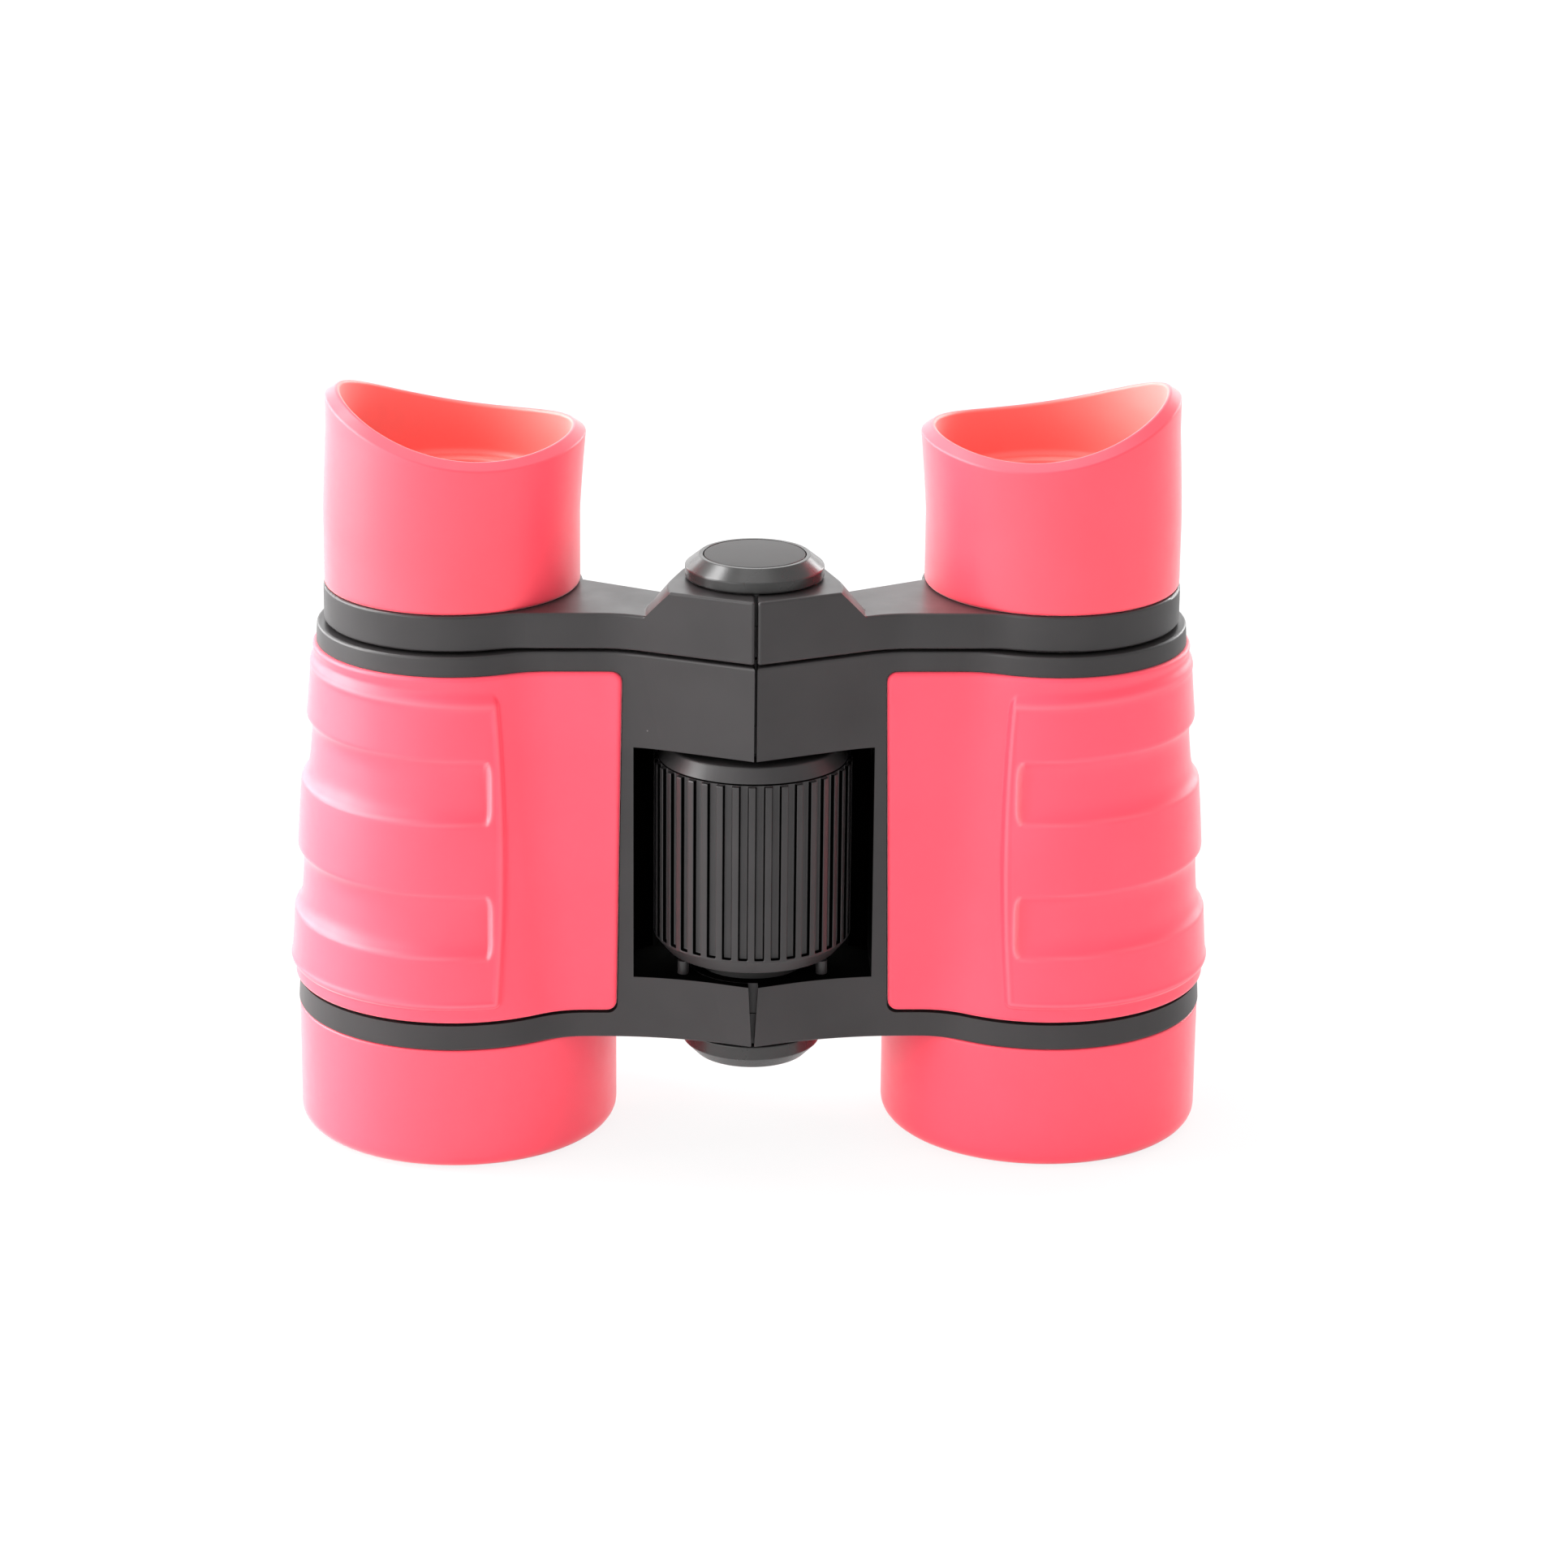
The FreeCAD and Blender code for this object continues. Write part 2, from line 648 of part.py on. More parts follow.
def eyepiece_tube():
    """Left eyepiece tube: slides in the body's guide bore and carries lens and eyecup."""
    lens_seat = cup_seat - eye_ring_height - eye_lens_edge
    wide = tube_radius - tube_wall
    lens_room = eye_lens_radius + running
    return turned([
        (tube_radius, tube_foot), (tube_radius, cup_seat), (lens_room, cup_seat),
        (lens_room, lens_seat), (tube_neck_radius, lens_seat),
        (tube_neck_radius, lens_seat - tube_neck_height), (wide, lens_seat - tube_neck_height),
        (wide, tube_foot)], barrel)


def eye_lens():
    """Left eye lens, hollow on both faces."""
    low = cup_seat - eye_ring_height - eye_lens_edge
    return lens(eye_lens_radius, eye_lens_edge, low, -eye_lens_hollow, barrel)


def eye_ring():
    """Ring that holds the eye lens in its seat."""
    outer = eye_lens_radius + running
    return ring(outer, outer - eye_ring_section, cup_seat - eye_ring_height, cup_seat, barrel)


def leaning(radius, low, high):
    """Round column that is straight at first and then leans to the middle and widens."""
    bend = arm_top + cup_straight
    rim = arm_top + cup_outer_height
    column = disc(radius, arm_top, bend, barrel)
    base = Part.Wire(Part.makeCircle(radius, V(barrel.x, barrel.y, bend)))
    mouth = Part.Wire(Part.makeCircle(radius + cup_flare,
                                      V(barrel.x + cup_lean, barrel.y, rim)))
    upper = Part.makeLoft([base, mouth], True, True)
    return column.fuse(upper).common(block(-reach, 0, -reach, reach, low, high))


def rim_room():
    """Everything above the eyecup's saddle-shaped rim."""
    left = V(barrel.x - cup_radius, -reach, arm_top + cup_outer_height)
    middle = V(barrel.x, -reach, arm_top + cup_front_height)
    right = V(barrel.x + cup_radius, -reach, arm_top + cup_inner_height)
    span = 2 * cup_radius
    saddle = Part.Arc(left, middle, right)
    far_left = left + V(-span / 4, 0, span / 4)
    far_right = right + V(span / 4, 0, span / 4)
    ceiling_left = V(far_left.x, -reach, arm_top + reach)
    ceiling_right = V(far_right.x, -reach, arm_top + reach)
    edges = [saddle.toShape(), Part.makeLine(right, far_right),
             Part.makeLine(far_right, ceiling_right), Part.makeLine(ceiling_right, ceiling_left),
             Part.makeLine(ceiling_left, far_left), Part.makeLine(far_left, left)]
    face = Part.Face(Part.Wire(Part.__sortEdges__(edges)))
    return face.extrude(V(0, 2 * reach, 0))


def eyecup():
    """Left soft eyecup: sleeve over the tube, floor with an eye hole, and a winged rim."""
    high = arm_top + cup_outer_height
    floor_top = cup_seat + cup_floor
    shape = leaning(cup_radius, arm_top, high)
    shape = shape.cut(leaning(cup_radius - cup_wall, floor_top, high))
    shape = shape.cut(disc(tube_radius, arm_top, cup_seat, barrel))
    shape = shape.cut(disc(cup_eye_hole, cup_seat, floor_top, barrel))
    return shape.cut(rim_room())


def build():
    """Every piece under its name."""
    left_body, right_body = bodies()
    left_arm, right_arm = arms()
    pieces = {
        "left_body": left_body,
        "right_body": right_body,
        "left_bridge_arm": left_arm,
        "right_bridge_arm": right_arm,
        "focus_wheel": focus_wheel(),
        "wheel_lower_washer": lower_washer(),
        "wheel_upper_washer": upper_washer(),
        "lower_hinge_pin": hinge_pin(),
        "upper_hinge_bush": hinge_bush(),
        "lower_hinge_cap": lower_cap(),
        "focus_screw": focus_screw(),
        "bridge_washer": bridge_washer(),
        "bridge_bolt": bridge_bolt(),
        "bridge_cap": bridge_cap(),
        "bridge_cap_disc": cap_disc(),
    }
    for name, make in (("grip", grip), ("hood", hood), ("objective_lens", objective_lens),
                       ("objective_ring", objective_ring), ("eyepiece_tube", eyepiece_tube),
                       ("eye_lens", eye_lens), ("eye_lens_ring", eye_ring), ("eyecup", eyecup)):
        shape = make()
        pieces["left_" + name] = shape
        pieces["right_" + name] = mirrored(shape)
    return pieces


os.makedirs("parts", exist_ok=True)
for name, shape in build().items():
    shape.exportStep("parts/" + name + ".step")
    box = shape.BoundBox
    print(f"{name}: {len(shape.Solids)} solid, valid {shape.isValid()}, {shape.Volume:.0f} mm3, "
          f"z {box.ZMin:.2f} to {box.ZMax:.2f}")
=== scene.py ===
# %% [markdown]
# # Toy binoculars in soft pink rubber and black plastic
# A child's binoculars stand on their two hoods with the eyecups up. The moulded black halves, the
# bridge arms and the inner pieces come from the construction model as they are. The grips, hoods,
# eyecups, wheel and caps are made again here, with the rounded edges that a mould leaves. Those
# edges are what catches the light, so they are the first thing that makes a toy look real.

# %% Load the fixed frame
import json
import math
import bmesh
import bpy
import numpy as np
from mathutils import Matrix, Vector


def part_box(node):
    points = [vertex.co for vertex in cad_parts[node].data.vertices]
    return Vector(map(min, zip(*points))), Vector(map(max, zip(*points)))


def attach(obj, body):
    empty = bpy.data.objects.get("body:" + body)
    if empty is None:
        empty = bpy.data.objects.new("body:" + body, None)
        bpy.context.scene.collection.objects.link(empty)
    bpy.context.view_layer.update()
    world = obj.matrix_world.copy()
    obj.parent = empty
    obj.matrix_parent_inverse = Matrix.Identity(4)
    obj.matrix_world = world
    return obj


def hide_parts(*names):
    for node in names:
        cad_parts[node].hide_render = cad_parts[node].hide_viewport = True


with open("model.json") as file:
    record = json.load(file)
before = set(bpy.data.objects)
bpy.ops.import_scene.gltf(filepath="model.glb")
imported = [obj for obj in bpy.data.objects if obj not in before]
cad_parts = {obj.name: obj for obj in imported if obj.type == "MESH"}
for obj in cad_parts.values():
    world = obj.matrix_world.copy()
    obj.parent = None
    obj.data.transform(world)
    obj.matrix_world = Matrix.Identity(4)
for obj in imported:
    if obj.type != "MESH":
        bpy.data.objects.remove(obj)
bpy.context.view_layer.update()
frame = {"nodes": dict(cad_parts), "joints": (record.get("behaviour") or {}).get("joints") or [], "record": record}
mm = 0.001
slot_of = {part["node"]: part["material_slot"] for part in frame["record"]["subparts"]}
body_of = {node: body for body, nodes in frame["record"]["behaviour"]["bodies"].items()
           for node in nodes}

# %% [markdown]
# ## Where things are
# Axes and levels are read from the frame, so that nothing here can drift from the construction.
# The barrel axis is the middle of a hood. The fold axis is the first joint's own place. Every
# shape below is worked out in millimetres and turned into metres when its mesh is made.

# %% Axes and levels
def box_mm(node):
    """Lowest and highest corner of a construction node, in millimetres."""
    low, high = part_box(node)
    return np.array(low) / mm, np.array(high) / mm


hood_low, hood_high = box_mm("left_hood")
barrel_x, barrel_y = (hood_low[:2] + hood_high[:2]) / 2
barrel_axis = (barrel_x, barrel_y)
fold = next(joint for joint in frame["joints"] if joint["name"] == "barrel_fold")
hinge_x, hinge_y = np.array(fold["pos_m"][:2]) / mm
hinge_axis = (hinge_x, hinge_y)
foot = hood_high[2]
top = box_mm("left_body")[1][2]
arm_top = box_mm("left_eyecup")[0][2]
print(f"barrel axis {barrel_x:.2f}, {barrel_y:.2f}; fold axis {hinge_x:.2f}, {hinge_y:.2f}")
print(f"foot {foot:.2f}, top {top:.2f}, arm top {arm_top:.2f}")

# %% [markdown]
# ## From a grid of points to a mesh
# Most pieces here are one surface: a rectangle of points whose neighbours are joined by
# four-sided faces. A turned piece closes in both directions, like a ring. The corner numbers of
# all faces come from one table of indices, shifted by a row and a column. The signed volume of
# the faces tells whether they look outwards.

# %% Faces of a grid
def quads_of(rows, columns, around_rows=False, around_columns=False, first=0):
    """Corner numbers of the faces between the neighbours of a grid of points."""
    index = np.arange(rows * columns).reshape(rows, columns) + first
    if around_rows:
        index = np.vstack([index, index[:1]])
    if around_columns:
        index = np.hstack([index, index[:, :1]])
    corners = [index[:-1, :-1], index[:-1, 1:], index[1:, 1:], index[1:, :-1]]
    return np.stack(corners, axis=-1).reshape(-1, 4)


def signed_volume(points, quads):
    """Six times the volume inside the faces, above zero when they look outwards."""
    a, b, c, d = (points[quads[:, corner]] for corner in range(4))
    return np.sum(np.cross(a, b) * c) + np.sum(np.cross(a, c) * d)


print("faces of a grid of 3 by 4 points:", len(quads_of(3, 4)))

# %% [markdown]
# ## The mesh itself
# The arrays go into the mesh in one stroke. Where rows shrink to a point or two grids share a
# border, the doubles are merged, so that every seam and pole is closed. The faces are turned
# round if they look inwards, which also serves the mirrored right-hand side.

# %% Mesh from points and faces
merge_mm = 0.0005


def make_mesh(name, points, quads, side=1, marks=None):
    """Closed mesh from points in millimetres; side -1 mirrors it to the right-hand side.

    Marks are one number for each point, which a material reads and paints as highlights.
    """
    points = points.reshape(-1, 3) * np.array([side, 1, 1])
    if signed_volume(points, quads) < 0:
        quads = quads[:, ::-1]
    mesh = bpy.data.meshes.new(name)
    mesh.vertices.add(len(points))
    mesh.vertices.foreach_set("co", (points * mm).astype(np.float32).ravel())
    mesh.loops.add(quads.size)
    mesh.loops.foreach_set("vertex_index", np.ascontiguousarray(quads, dtype=np.int32).ravel())
    mesh.polygons.add(len(quads))
    mesh.polygons.foreach_set("loop_start", np.arange(0, quads.size, 4, dtype=np.int32))
    mesh.update(calc_edges=True)
    if marks is not None:
        attribute = mesh.attributes.new("painted_highlight", "FLOAT", "POINT")
        attribute.data.foreach_set("value", np.ravel(marks).astype(np.float32))
    work = bmesh.new()
    work.from_mesh(mesh)
    bmesh.ops.remove_doubles(work, verts=work.verts, dist=merge_mm * mm)
    bmesh.ops.dissolve_degenerate(work, edges=work.edges, dist=merge_mm * mm)
    work.to_mesh(mesh)
    open_edges = sum(not edge.is_manifold for edge in work.edges)
    work.free()
    mesh.shade_smooth()
    piece = bpy.data.objects.new(name, mesh)
    bpy.context.scene.collection.objects.link(piece)
    print(f"{name}: {len(mesh.polygons)} faces, {open_edges} open edges")
    return piece


print("points closer than", merge_mm, "mm are merged")

# %% [markdown]
# ## Turned pieces with rounded corners
# Hoods, caps and rings are turned: a closed outline of (radius, height) corners goes round an
# upright axis. Each corner gets a small arc, because a sharp corner shows no line of light. The
# straight runs get a few points close to their ends, so that the smooth shading of the arcs
# doesn't bleed over the flats.

# %% Rounded outline
run_shares = np.array([0.0, 0.03, 0.12, 0.35, 0.65, 0.88, 0.97, 1.0])


def rounded(corners, radii, steps=7):
    """Closed outline with an arc at each corner.

    The arc touches both runs; its middle lies on the bisector, a radius from each of them.
    """
    corners = np.array(corners, float)
    radii = np.array(radii, float)[:, None]
    before = np.roll(corners, 1, axis=0) - corners
    after = np.roll(corners, -1, axis=0) - corners
    before /= np.linalg.norm(before, axis=1, keepdims=True)
    after /= np.linalg.norm(after, axis=1, keepdims=True)
    half = np.arccos(np.clip(np.sum(before * after, axis=1, keepdims=True), -1, 1)) / 2
    reach = radii / np.tan(half)
    bisector = before + after
    bisector /= np.linalg.norm(bisector, axis=1, keepdims=True)
    middle = corners + bisector * radii / np.sin(half)
    start = corners + before * reach - middle
    end = corners + after * reach - middle
    share = np.linspace(0, 1, steps)[None, :, None]
    swing = (math.pi - 2 * half)[:, None]
    weight_start = np.sin((1 - share) * swing) / np.sin(swing)
    weight_end = np.sin(share * swing) / np.sin(swing)
    arcs = middle[:, None] + start[:, None] * weight_start + end[:, None] * weight_end
    run_start = arcs[:, -1:]
    run_end = np.roll(arcs[:, :1], -1, axis=0)
    runs = run_start + (run_end - run_start) * run_shares[None, 1:-1, None]
    return np.concatenate([arcs, runs], axis=1).reshape(-1, 2)


print("points on each straight run:", len(run_shares) - 2)

# %% [markdown]
# A lathe does the rest: every point of the outline goes round the axis. The second helper is a
# soft step. It goes from 0 to 1 with level ends, and serves wherever one shape runs into another.

# %% Revolution and the soft step
def turned(name, corners, radii, axis, sides=192, side=1):
    """Piece of revolution: each outline point goes round the upright axis at its own radius."""
    outline = rounded(corners, radii)
    angle = np.linspace(0, 2 * math.pi, sides, endpoint=False)[None]
    radius, height = outline[:, 0:1], outline[:, 1:2]
    points = np.stack([axis[0] + radius * np.cos(angle), axis[1] + radius * np.sin(angle),
                       height + 0 * angle], axis=-1)
    quads = quads_of(len(outline), sides, around_rows=True, around_columns=True)
    return make_mesh(name, points, quads, side)


def smooth(value):
    """Goes from 0 to 1 with level ends while the value does."""
    value = np.clip(value, 0, 1)
    return value * value * (3 - 2 * value)


print("soft step at a quarter, half and three quarters:", smooth(np.array([0.25, 0.5, 0.75])))

# %% [markdown]
# ## Small tools for materials
# A material is a small network of nodes. These helpers each add one node and give back its
# output, so that a finish reads like a sentence. Everything is placed by object coordinates: they
# need no unwrapping, and the pattern stays in place when the piece moves with its body.

# %% Node helpers
def new_material(name):
    """Material with a Principled shader and object coordinates."""
    material = bpy.data.materials.new(name)
    material.use_nodes = True
    tree = material.node_tree
    shader = tree.nodes["Principled BSDF"]
    place = tree.nodes.new("ShaderNodeTexCoord").outputs["Object"]
    return material, tree, shader, place


def noise(tree, place, size_mm, detail=2.0, roughness=0.5):
    """Noise whose blotches are about this many millimetres across."""
    node = tree.nodes.new("ShaderNodeTexNoise")
    node.inputs["Scale"].default_value = 1 / (size_mm * mm)
    node.inputs["Detail"].default_value = detail
    node.inputs["Roughness"].default_value = roughness
    tree.links.new(place, node.inputs["Vector"])
    return node.outputs["Fac"]


def remap(tree, value, low, high, to_low, to_high):
    """Value stretched from one range to another and held at its ends."""
    node = tree.nodes.new("ShaderNodeMapRange")
    for name, number in (("From Min", low), ("From Max", high),
                         ("To Min", to_low), ("To Max", to_high)):
        node.inputs[name].default_value = number
    tree.links.new(value, node.inputs["Value"])
    return node.outputs["Result"]


def math_node(tree, operation, *values):
    """Result of a sum, product or other operation on sockets and numbers."""
    node = tree.nodes.new("ShaderNodeMath")
    node.operation = operation
    for socket, value in zip(node.inputs, values):
        if isinstance(value, (int, float)):
            socket.default_value = value
        else:
            tree.links.new(value, socket)
    return node.outputs[0]


def blend_colours(tree, share, first, second):
    """Mix of two colours (or of a colour and a socket) by a share."""
    node = tree.nodes.new("ShaderNodeMix")
    node.data_type = "RGBA"
    tree.links.new(share, node.inputs["Factor"])
    for socket, colour in ((node.inputs[6], first), (node.inputs[7], second)):
        if isinstance(colour, tuple):
            socket.default_value = (*colour, 1)
        else:
            tree.links.new(colour, socket)
    return node.outputs[2]


def mix_values(tree, share, first, second):
    """A value that goes to a fixed number with a share."""
    node = tree.nodes.new("ShaderNodeMix")
    tree.links.new(share, node.inputs[0])
    tree.links.new(first, node.inputs[2])
    node.inputs[3].default_value = second
    return node.outputs[0]


print("noise, ranges, arithmetic and blends are ready")

# %% [markdown]
# ## Specks and grain
# Moulded parts are never quite even. They get a fine grain, as an etched mould leaves, and tiny
# specks of dust or pigment. A Voronoi texture has one random grey for each of its points, so a
# speck is drawn only near the few points whose grey is high.

# %% Specks and grain
def specks(tree, place, spacing_mm, size_share, rarity):
    """1 on tiny round specks, 0 elsewhere: near a Voronoi point whose random grey is high."""
    node = tree.nodes.new("ShaderNodeTexVoronoi")
    node.inputs["Scale"].default_value = 1 / (spacing_mm * mm)
    tree.links.new(place, node.inputs["Vector"])
    near = remap(tree, node.outputs["Distance"], size_share * 0.5, size_share, 1, 0)
    grey = tree.nodes.new("ShaderNodeSeparateColor")
    tree.links.new(node.outputs["Color"], grey.inputs[0])
    chosen = remap(tree, grey.outputs[0], rarity, rarity + 0.01, 0, 1)
    return math_node(tree, "MULTIPLY", near, chosen)


def add_grain(tree, shader, place, size_mm, height_mm, strength):
    """Fine bump of a textured mould."""
    bump = tree.nodes.new("ShaderNodeBump")
    bump.inputs["Strength"].default_value = strength
    bump.inputs["Distance"].default_value = height_mm * mm
    tree.links.new(noise(tree, place, size_mm, 3.0), bump.inputs["Height"])
    tree.links.new(bump.outputs["Normal"], shader.inputs["Normal"])


print("specks and grain are ready")

# %% [markdown]
# ## Masks
# A mask is 1 where a finish holds and 0 elsewhere. Here they come from plain geometry: a level
# between two heights, or a distance from an upright axis. Their ends are soft, mostly over a few
# hundredths of a millimetre, so that no mask stops in a jagged line.

# %% Masks from coordinates
mask_soft = 0.02


def axes_of(tree, place):
    """The three coordinates of a place."""
    node = tree.nodes.new("ShaderNodeSeparateXYZ")
    tree.links.new(place, node.inputs[0])
    return node.outputs


def within(tree, value, low, high, soft):
    """1 where a value lies between two limits, with soft ends."""
    rise = remap(tree, value, low - soft, low + soft, 0, 1)
    fall = remap(tree, value, high - soft, high + soft, 1, 0)
    return math_node(tree, "MULTIPLY", rise, fall)


def from_axis(tree, across, depth, axis_x, axis_y):
    """Distance from an upright axis, all in millimetres."""
    step_x = math_node(tree, "MULTIPLY_ADD", across, 1 / mm, -axis_x)
    step_y = math_node(tree, "MULTIPLY_ADD", depth, 1 / mm, -axis_y)
    square_x = math_node(tree, "MULTIPLY", step_x, step_x)
    return math_node(tree, "SQRT", math_node(tree, "MULTIPLY_ADD", step_y, step_y, square_x))


print("masks fade over", 2 * mask_soft, "mm")

# %% [markdown]
# ## Soft pink rubber
# The grips, hoods and eyecups are moulded in a coral pink rubber with a satin face. On the real
# thing the colour is nearly even, with a cloudiness that is only just visible. The sheen gives
# the pale bloom that soft rubber has where it curves away. A piece may hand in a mask for its
# hollow, where a warm glow of bounced light is painted, and a pale colour for painted highlights
# along the edges that its mesh marks with an attribute.

# %% The rubber
cloud_mm, bloom_mm, speck_mm, rubber_grain_mm = 14.0, 2.2, 6.5, 0.16
rubber_gloss, rubber_sheen, sheen_spread = 0.7, 0.45, 0.35


def rubber(name, colour, cloud, roughness, hollow=None, pale=None):
    """Satin rubber: an even colour with clouds, dark specks, fine grain and a pale sheen."""
    material, tree, shader, place = new_material(name)
    clouds = remap(tree, noise(tree, place, cloud_mm), 0.3, 0.7, 0, 1)
    tinted = blend_colours(tree, clouds, colour, cloud)
    # Painted glow: a paler, warmer pink inside the hollow stands in for light bouncing there.
    if hollow:
        tinted = blend_colours(tree, hollow(tree, place), tinted, painted_glow_colour)
    # Painted highlight: pale pink along the edges that the mesh marks, standing in for light caught there.
    if pale:
        edge = tree.nodes.new("ShaderNodeAttribute")
        edge.attribute_name = "painted_highlight"
        tinted = blend_colours(tree, edge.outputs["Fac"], tinted, pale)
    dark = tuple(channel * 0.5 for channel in colour)
    spotted = blend_colours(tree, specks(tree, place, speck_mm, 0.03, 0.75), tinted, dark)
    tree.links.new(spotted, shader.inputs["Base Color"])
    uneven = remap(tree, noise(tree, place, bloom_mm), 0.3, 0.7, roughness - 0.03, roughness + 0.04)
    tree.links.new(uneven, shader.inputs["Roughness"])
    shader.inputs["Specular IOR Level"].default_value = rubber_gloss
    shader.inputs["Sheen Weight"].default_value = rubber_sheen
    shader.inputs["Sheen Roughness"].default_value = sheen_spread
    add_grain(tree, shader, place, rubber_grain_mm, 0.006, 0.3)
    return material


print("clouds", cloud_mm, "mm, grain", rubber_grain_mm, "mm")

# %% [markdown]
# ## Three pinks
# Inside the cups the pink looks paler and more orange than outside, because light bounces round
# the hollow. That glow is painted: the hollow gets a colour of its own.
# Its mask is a cylinder round the middle of the cup's mouth, which is shifted a little towards
# the nose. The sign of x is dropped, so that one mask serves both cups.

# %% The three rubbers
mouth_shift, hollow_radius = 0.5, 13.0
# Paler, warmer pink inside the cups: painted glow of bounced light.
painted_glow_colour = (1.0, 0.178, 0.156)
# Pale pink of the painted highlights along the grip's edges.
highlight_colour = (1.0, 0.47, 0.52)


def cup_painted_glow(tree, place):
    """1 where a glow is painted in an eyecup: near the middle of its mouth, on either side."""
    axes = axes_of(tree, place)
    across = math_node(tree, "ABSOLUTE", axes[0])
    distance = from_axis(tree, across, axes[1], -barrel_x - mouth_shift, barrel_y)
    return remap(tree, distance, hollow_radius - 0.1, hollow_radius + 0.1, 1, 0)


grip_rubber = rubber("grip_rubber", (0.97, 0.050, 0.098), (0.98, 0.056, 0.108), 0.46,
                     pale=highlight_colour)
hood_rubber = rubber("hood_rubber", (0.97, 0.054, 0.098), (0.98, 0.060, 0.108), 0.44)
eyecup_rubber = rubber("eyecup_rubber", (0.97, 0.052, 0.088), (0.98, 0.058, 0.098), 0.45,
                       hollow=cup_painted_glow)
print("rubbers:", grip_rubber.name, hood_rubber.name, eyecup_rubber.name)

# %% [markdown]
# ## Black plastics
# The halves and arms are black plastic with a half-matt face that looks dark grey where it
# mirrors the white room. Pale dust specks and slow changes of gloss keep the large faces from
# looking flat. Two masks can be handed in: one for deep places, where shade is painted as black
# without gloss, and one for faces that are matter than the rest.

# %% The plastic
# Black without gloss, for shade painted in deep places.
painted_shade_black = (0.002, 0.002, 0.002)
painted_shade_roughness, matter_roughness = 0.95, 0.52
patch_mm, plastic_cloud_mm, dust_mm, plastic_grain_mm = 5.0, 9.0, 5.5, 0.12


def plastic(name, colour, roughness, grain_strength, dust_rarity=0.8,
            shade=None, matter=None):
    """Moulded plastic: dark colour, patchy gloss, fine grain and a few pale dust specks.

    Where the mask shade is 1, shade is painted: black, and made metallic, it mirrors nothing.
    """
    material, tree, shader, place = new_material(name)
    clouds = remap(tree, noise(tree, place, plastic_cloud_mm), 0.3, 0.7, 0, 1)
    lighter = tuple(channel * 1.25 for channel in colour)
    tinted = blend_colours(tree, clouds, colour, lighter)
    dust = tuple(channel * 6 for channel in colour)
    dusty = blend_colours(tree, specks(tree, place, dust_mm, 0.024, dust_rarity), tinted, dust)
    uneven = noise(tree, place, patch_mm, 4.0)
    patches = remap(tree, uneven, 0.3, 0.7, roughness - 0.04, roughness + 0.05)
    if shade:
        # Painted shade: black colour, no gloss, and metallic so that nothing is mirrored.
        inside = shade(tree, place)
        dusty = blend_colours(tree, inside, dusty, painted_shade_black)
        patches = mix_values(tree, inside, patches, painted_shade_roughness)
        tree.links.new(inside, shader.inputs["Metallic"])
    if matter:
        patches = mix_values(tree, matter(tree, place), patches, matter_roughness)
    tree.links.new(dusty, shader.inputs["Base Color"])
    tree.links.new(patches, shader.inputs["Roughness"])
    add_grain(tree, shader, place, plastic_grain_mm, 0.004, grain_strength)
    return material


print("dust about every", dust_mm, "mm, grain", plastic_grain_mm, "mm")

# %% [markdown]
# ## The dark window
# The wheel turns in a window through the web, whose walls lie deep in shade and look black. Plain
# plastic came out grey there, because it mirrors the white room, so a mask paints that shade: it
# takes the colour and the gloss away. It covers the space between the window's sides, floor and
# ceiling, leaves out the two small pips on the floor, and stops short of the web's back face,
# which lies in the light.

# %% Inside the window
window_low, window_high = foot + 7.3, foot + 34.2
window_side, back_web = 13.35, 5.5
window_margin = 0.05
full_before_back, gone_before_back = 0.5, 0.3
pip_near, pip_far = 7.0, 8.5
pip_foot, pip_top = window_low + 0.06, window_low + 1.7


def outside_pips(tree, axes):
    """0 on the two small pips that stand on the window's floor, 1 elsewhere."""
    across = math_node(tree, "ABSOLUTE", axes[0])
    beside = within(tree, across, pip_near * mm, pip_far * mm, mask_soft * mm)
    above = within(tree, axes[2], pip_foot * mm, pip_top * mm, mask_soft * mm)
    return math_node(tree, "SUBTRACT", 1, math_node(tree, "MULTIPLY", beside, above))


def window_painted_shade(tree, place):
    """1 where shade is painted: on the window's walls, between its sides, floor and ceiling."""
    axes = axes_of(tree, place)
    sides = within(tree, axes[0], -window_side * mm, window_side * mm, mask_soft * mm)
    levels = within(tree, axes[2], (window_low - window_margin) * mm,
                    (window_high + window_margin) * mm, mask_soft * mm)
    inside = math_node(tree, "MULTIPLY", sides, levels)
    back = barrel_y + back_web
    before = remap(tree, axes[1], (back - full_before_back) * mm,
                   (back - gone_before_back) * mm, 1, 0)
    inside = math_node(tree, "MULTIPLY", inside, before)
    return math_node(tree, "MULTIPLY", inside, outside_pips(tree, axes))


print(f"window from {window_low:.1f} to {window_high:.1f} mm")

# %% [markdown]
# ## Painted shade in the grooves, and a dull disc
# Shade is painted on the narrow walls of the wheel's grooves, as dark as the window. They are the
# places whose distance from the hinge lies between the groove's floor and the top of the rib. A
# painted shadow line on the lip over the ribs is found by its height. The inset disc in the hub's
# cap is duller than the ring round it.

# %% Wheel grooves and cap disc
wheel_low, wheel_high = box_mm("focus_wheel")
wheel_foot, wheel_top = wheel_low[2], wheel_high[2]
wheel_radius = (wheel_high[0] - wheel_low[0]) / 2
wheel_bevel, wheel_bevel_height = 1.5, 1.8
groove_cut, core_lip = 0.52, 0.22
core_radius = wheel_radius - groove_cut
rib_low, rib_high = wheel_foot + wheel_bevel_height, wheel_top - wheel_bevel_height
wall_margin, wall_start, wall_end, lip_start = 0.07, 0.16, 0.02, 0.03
disc_radius = 5.6


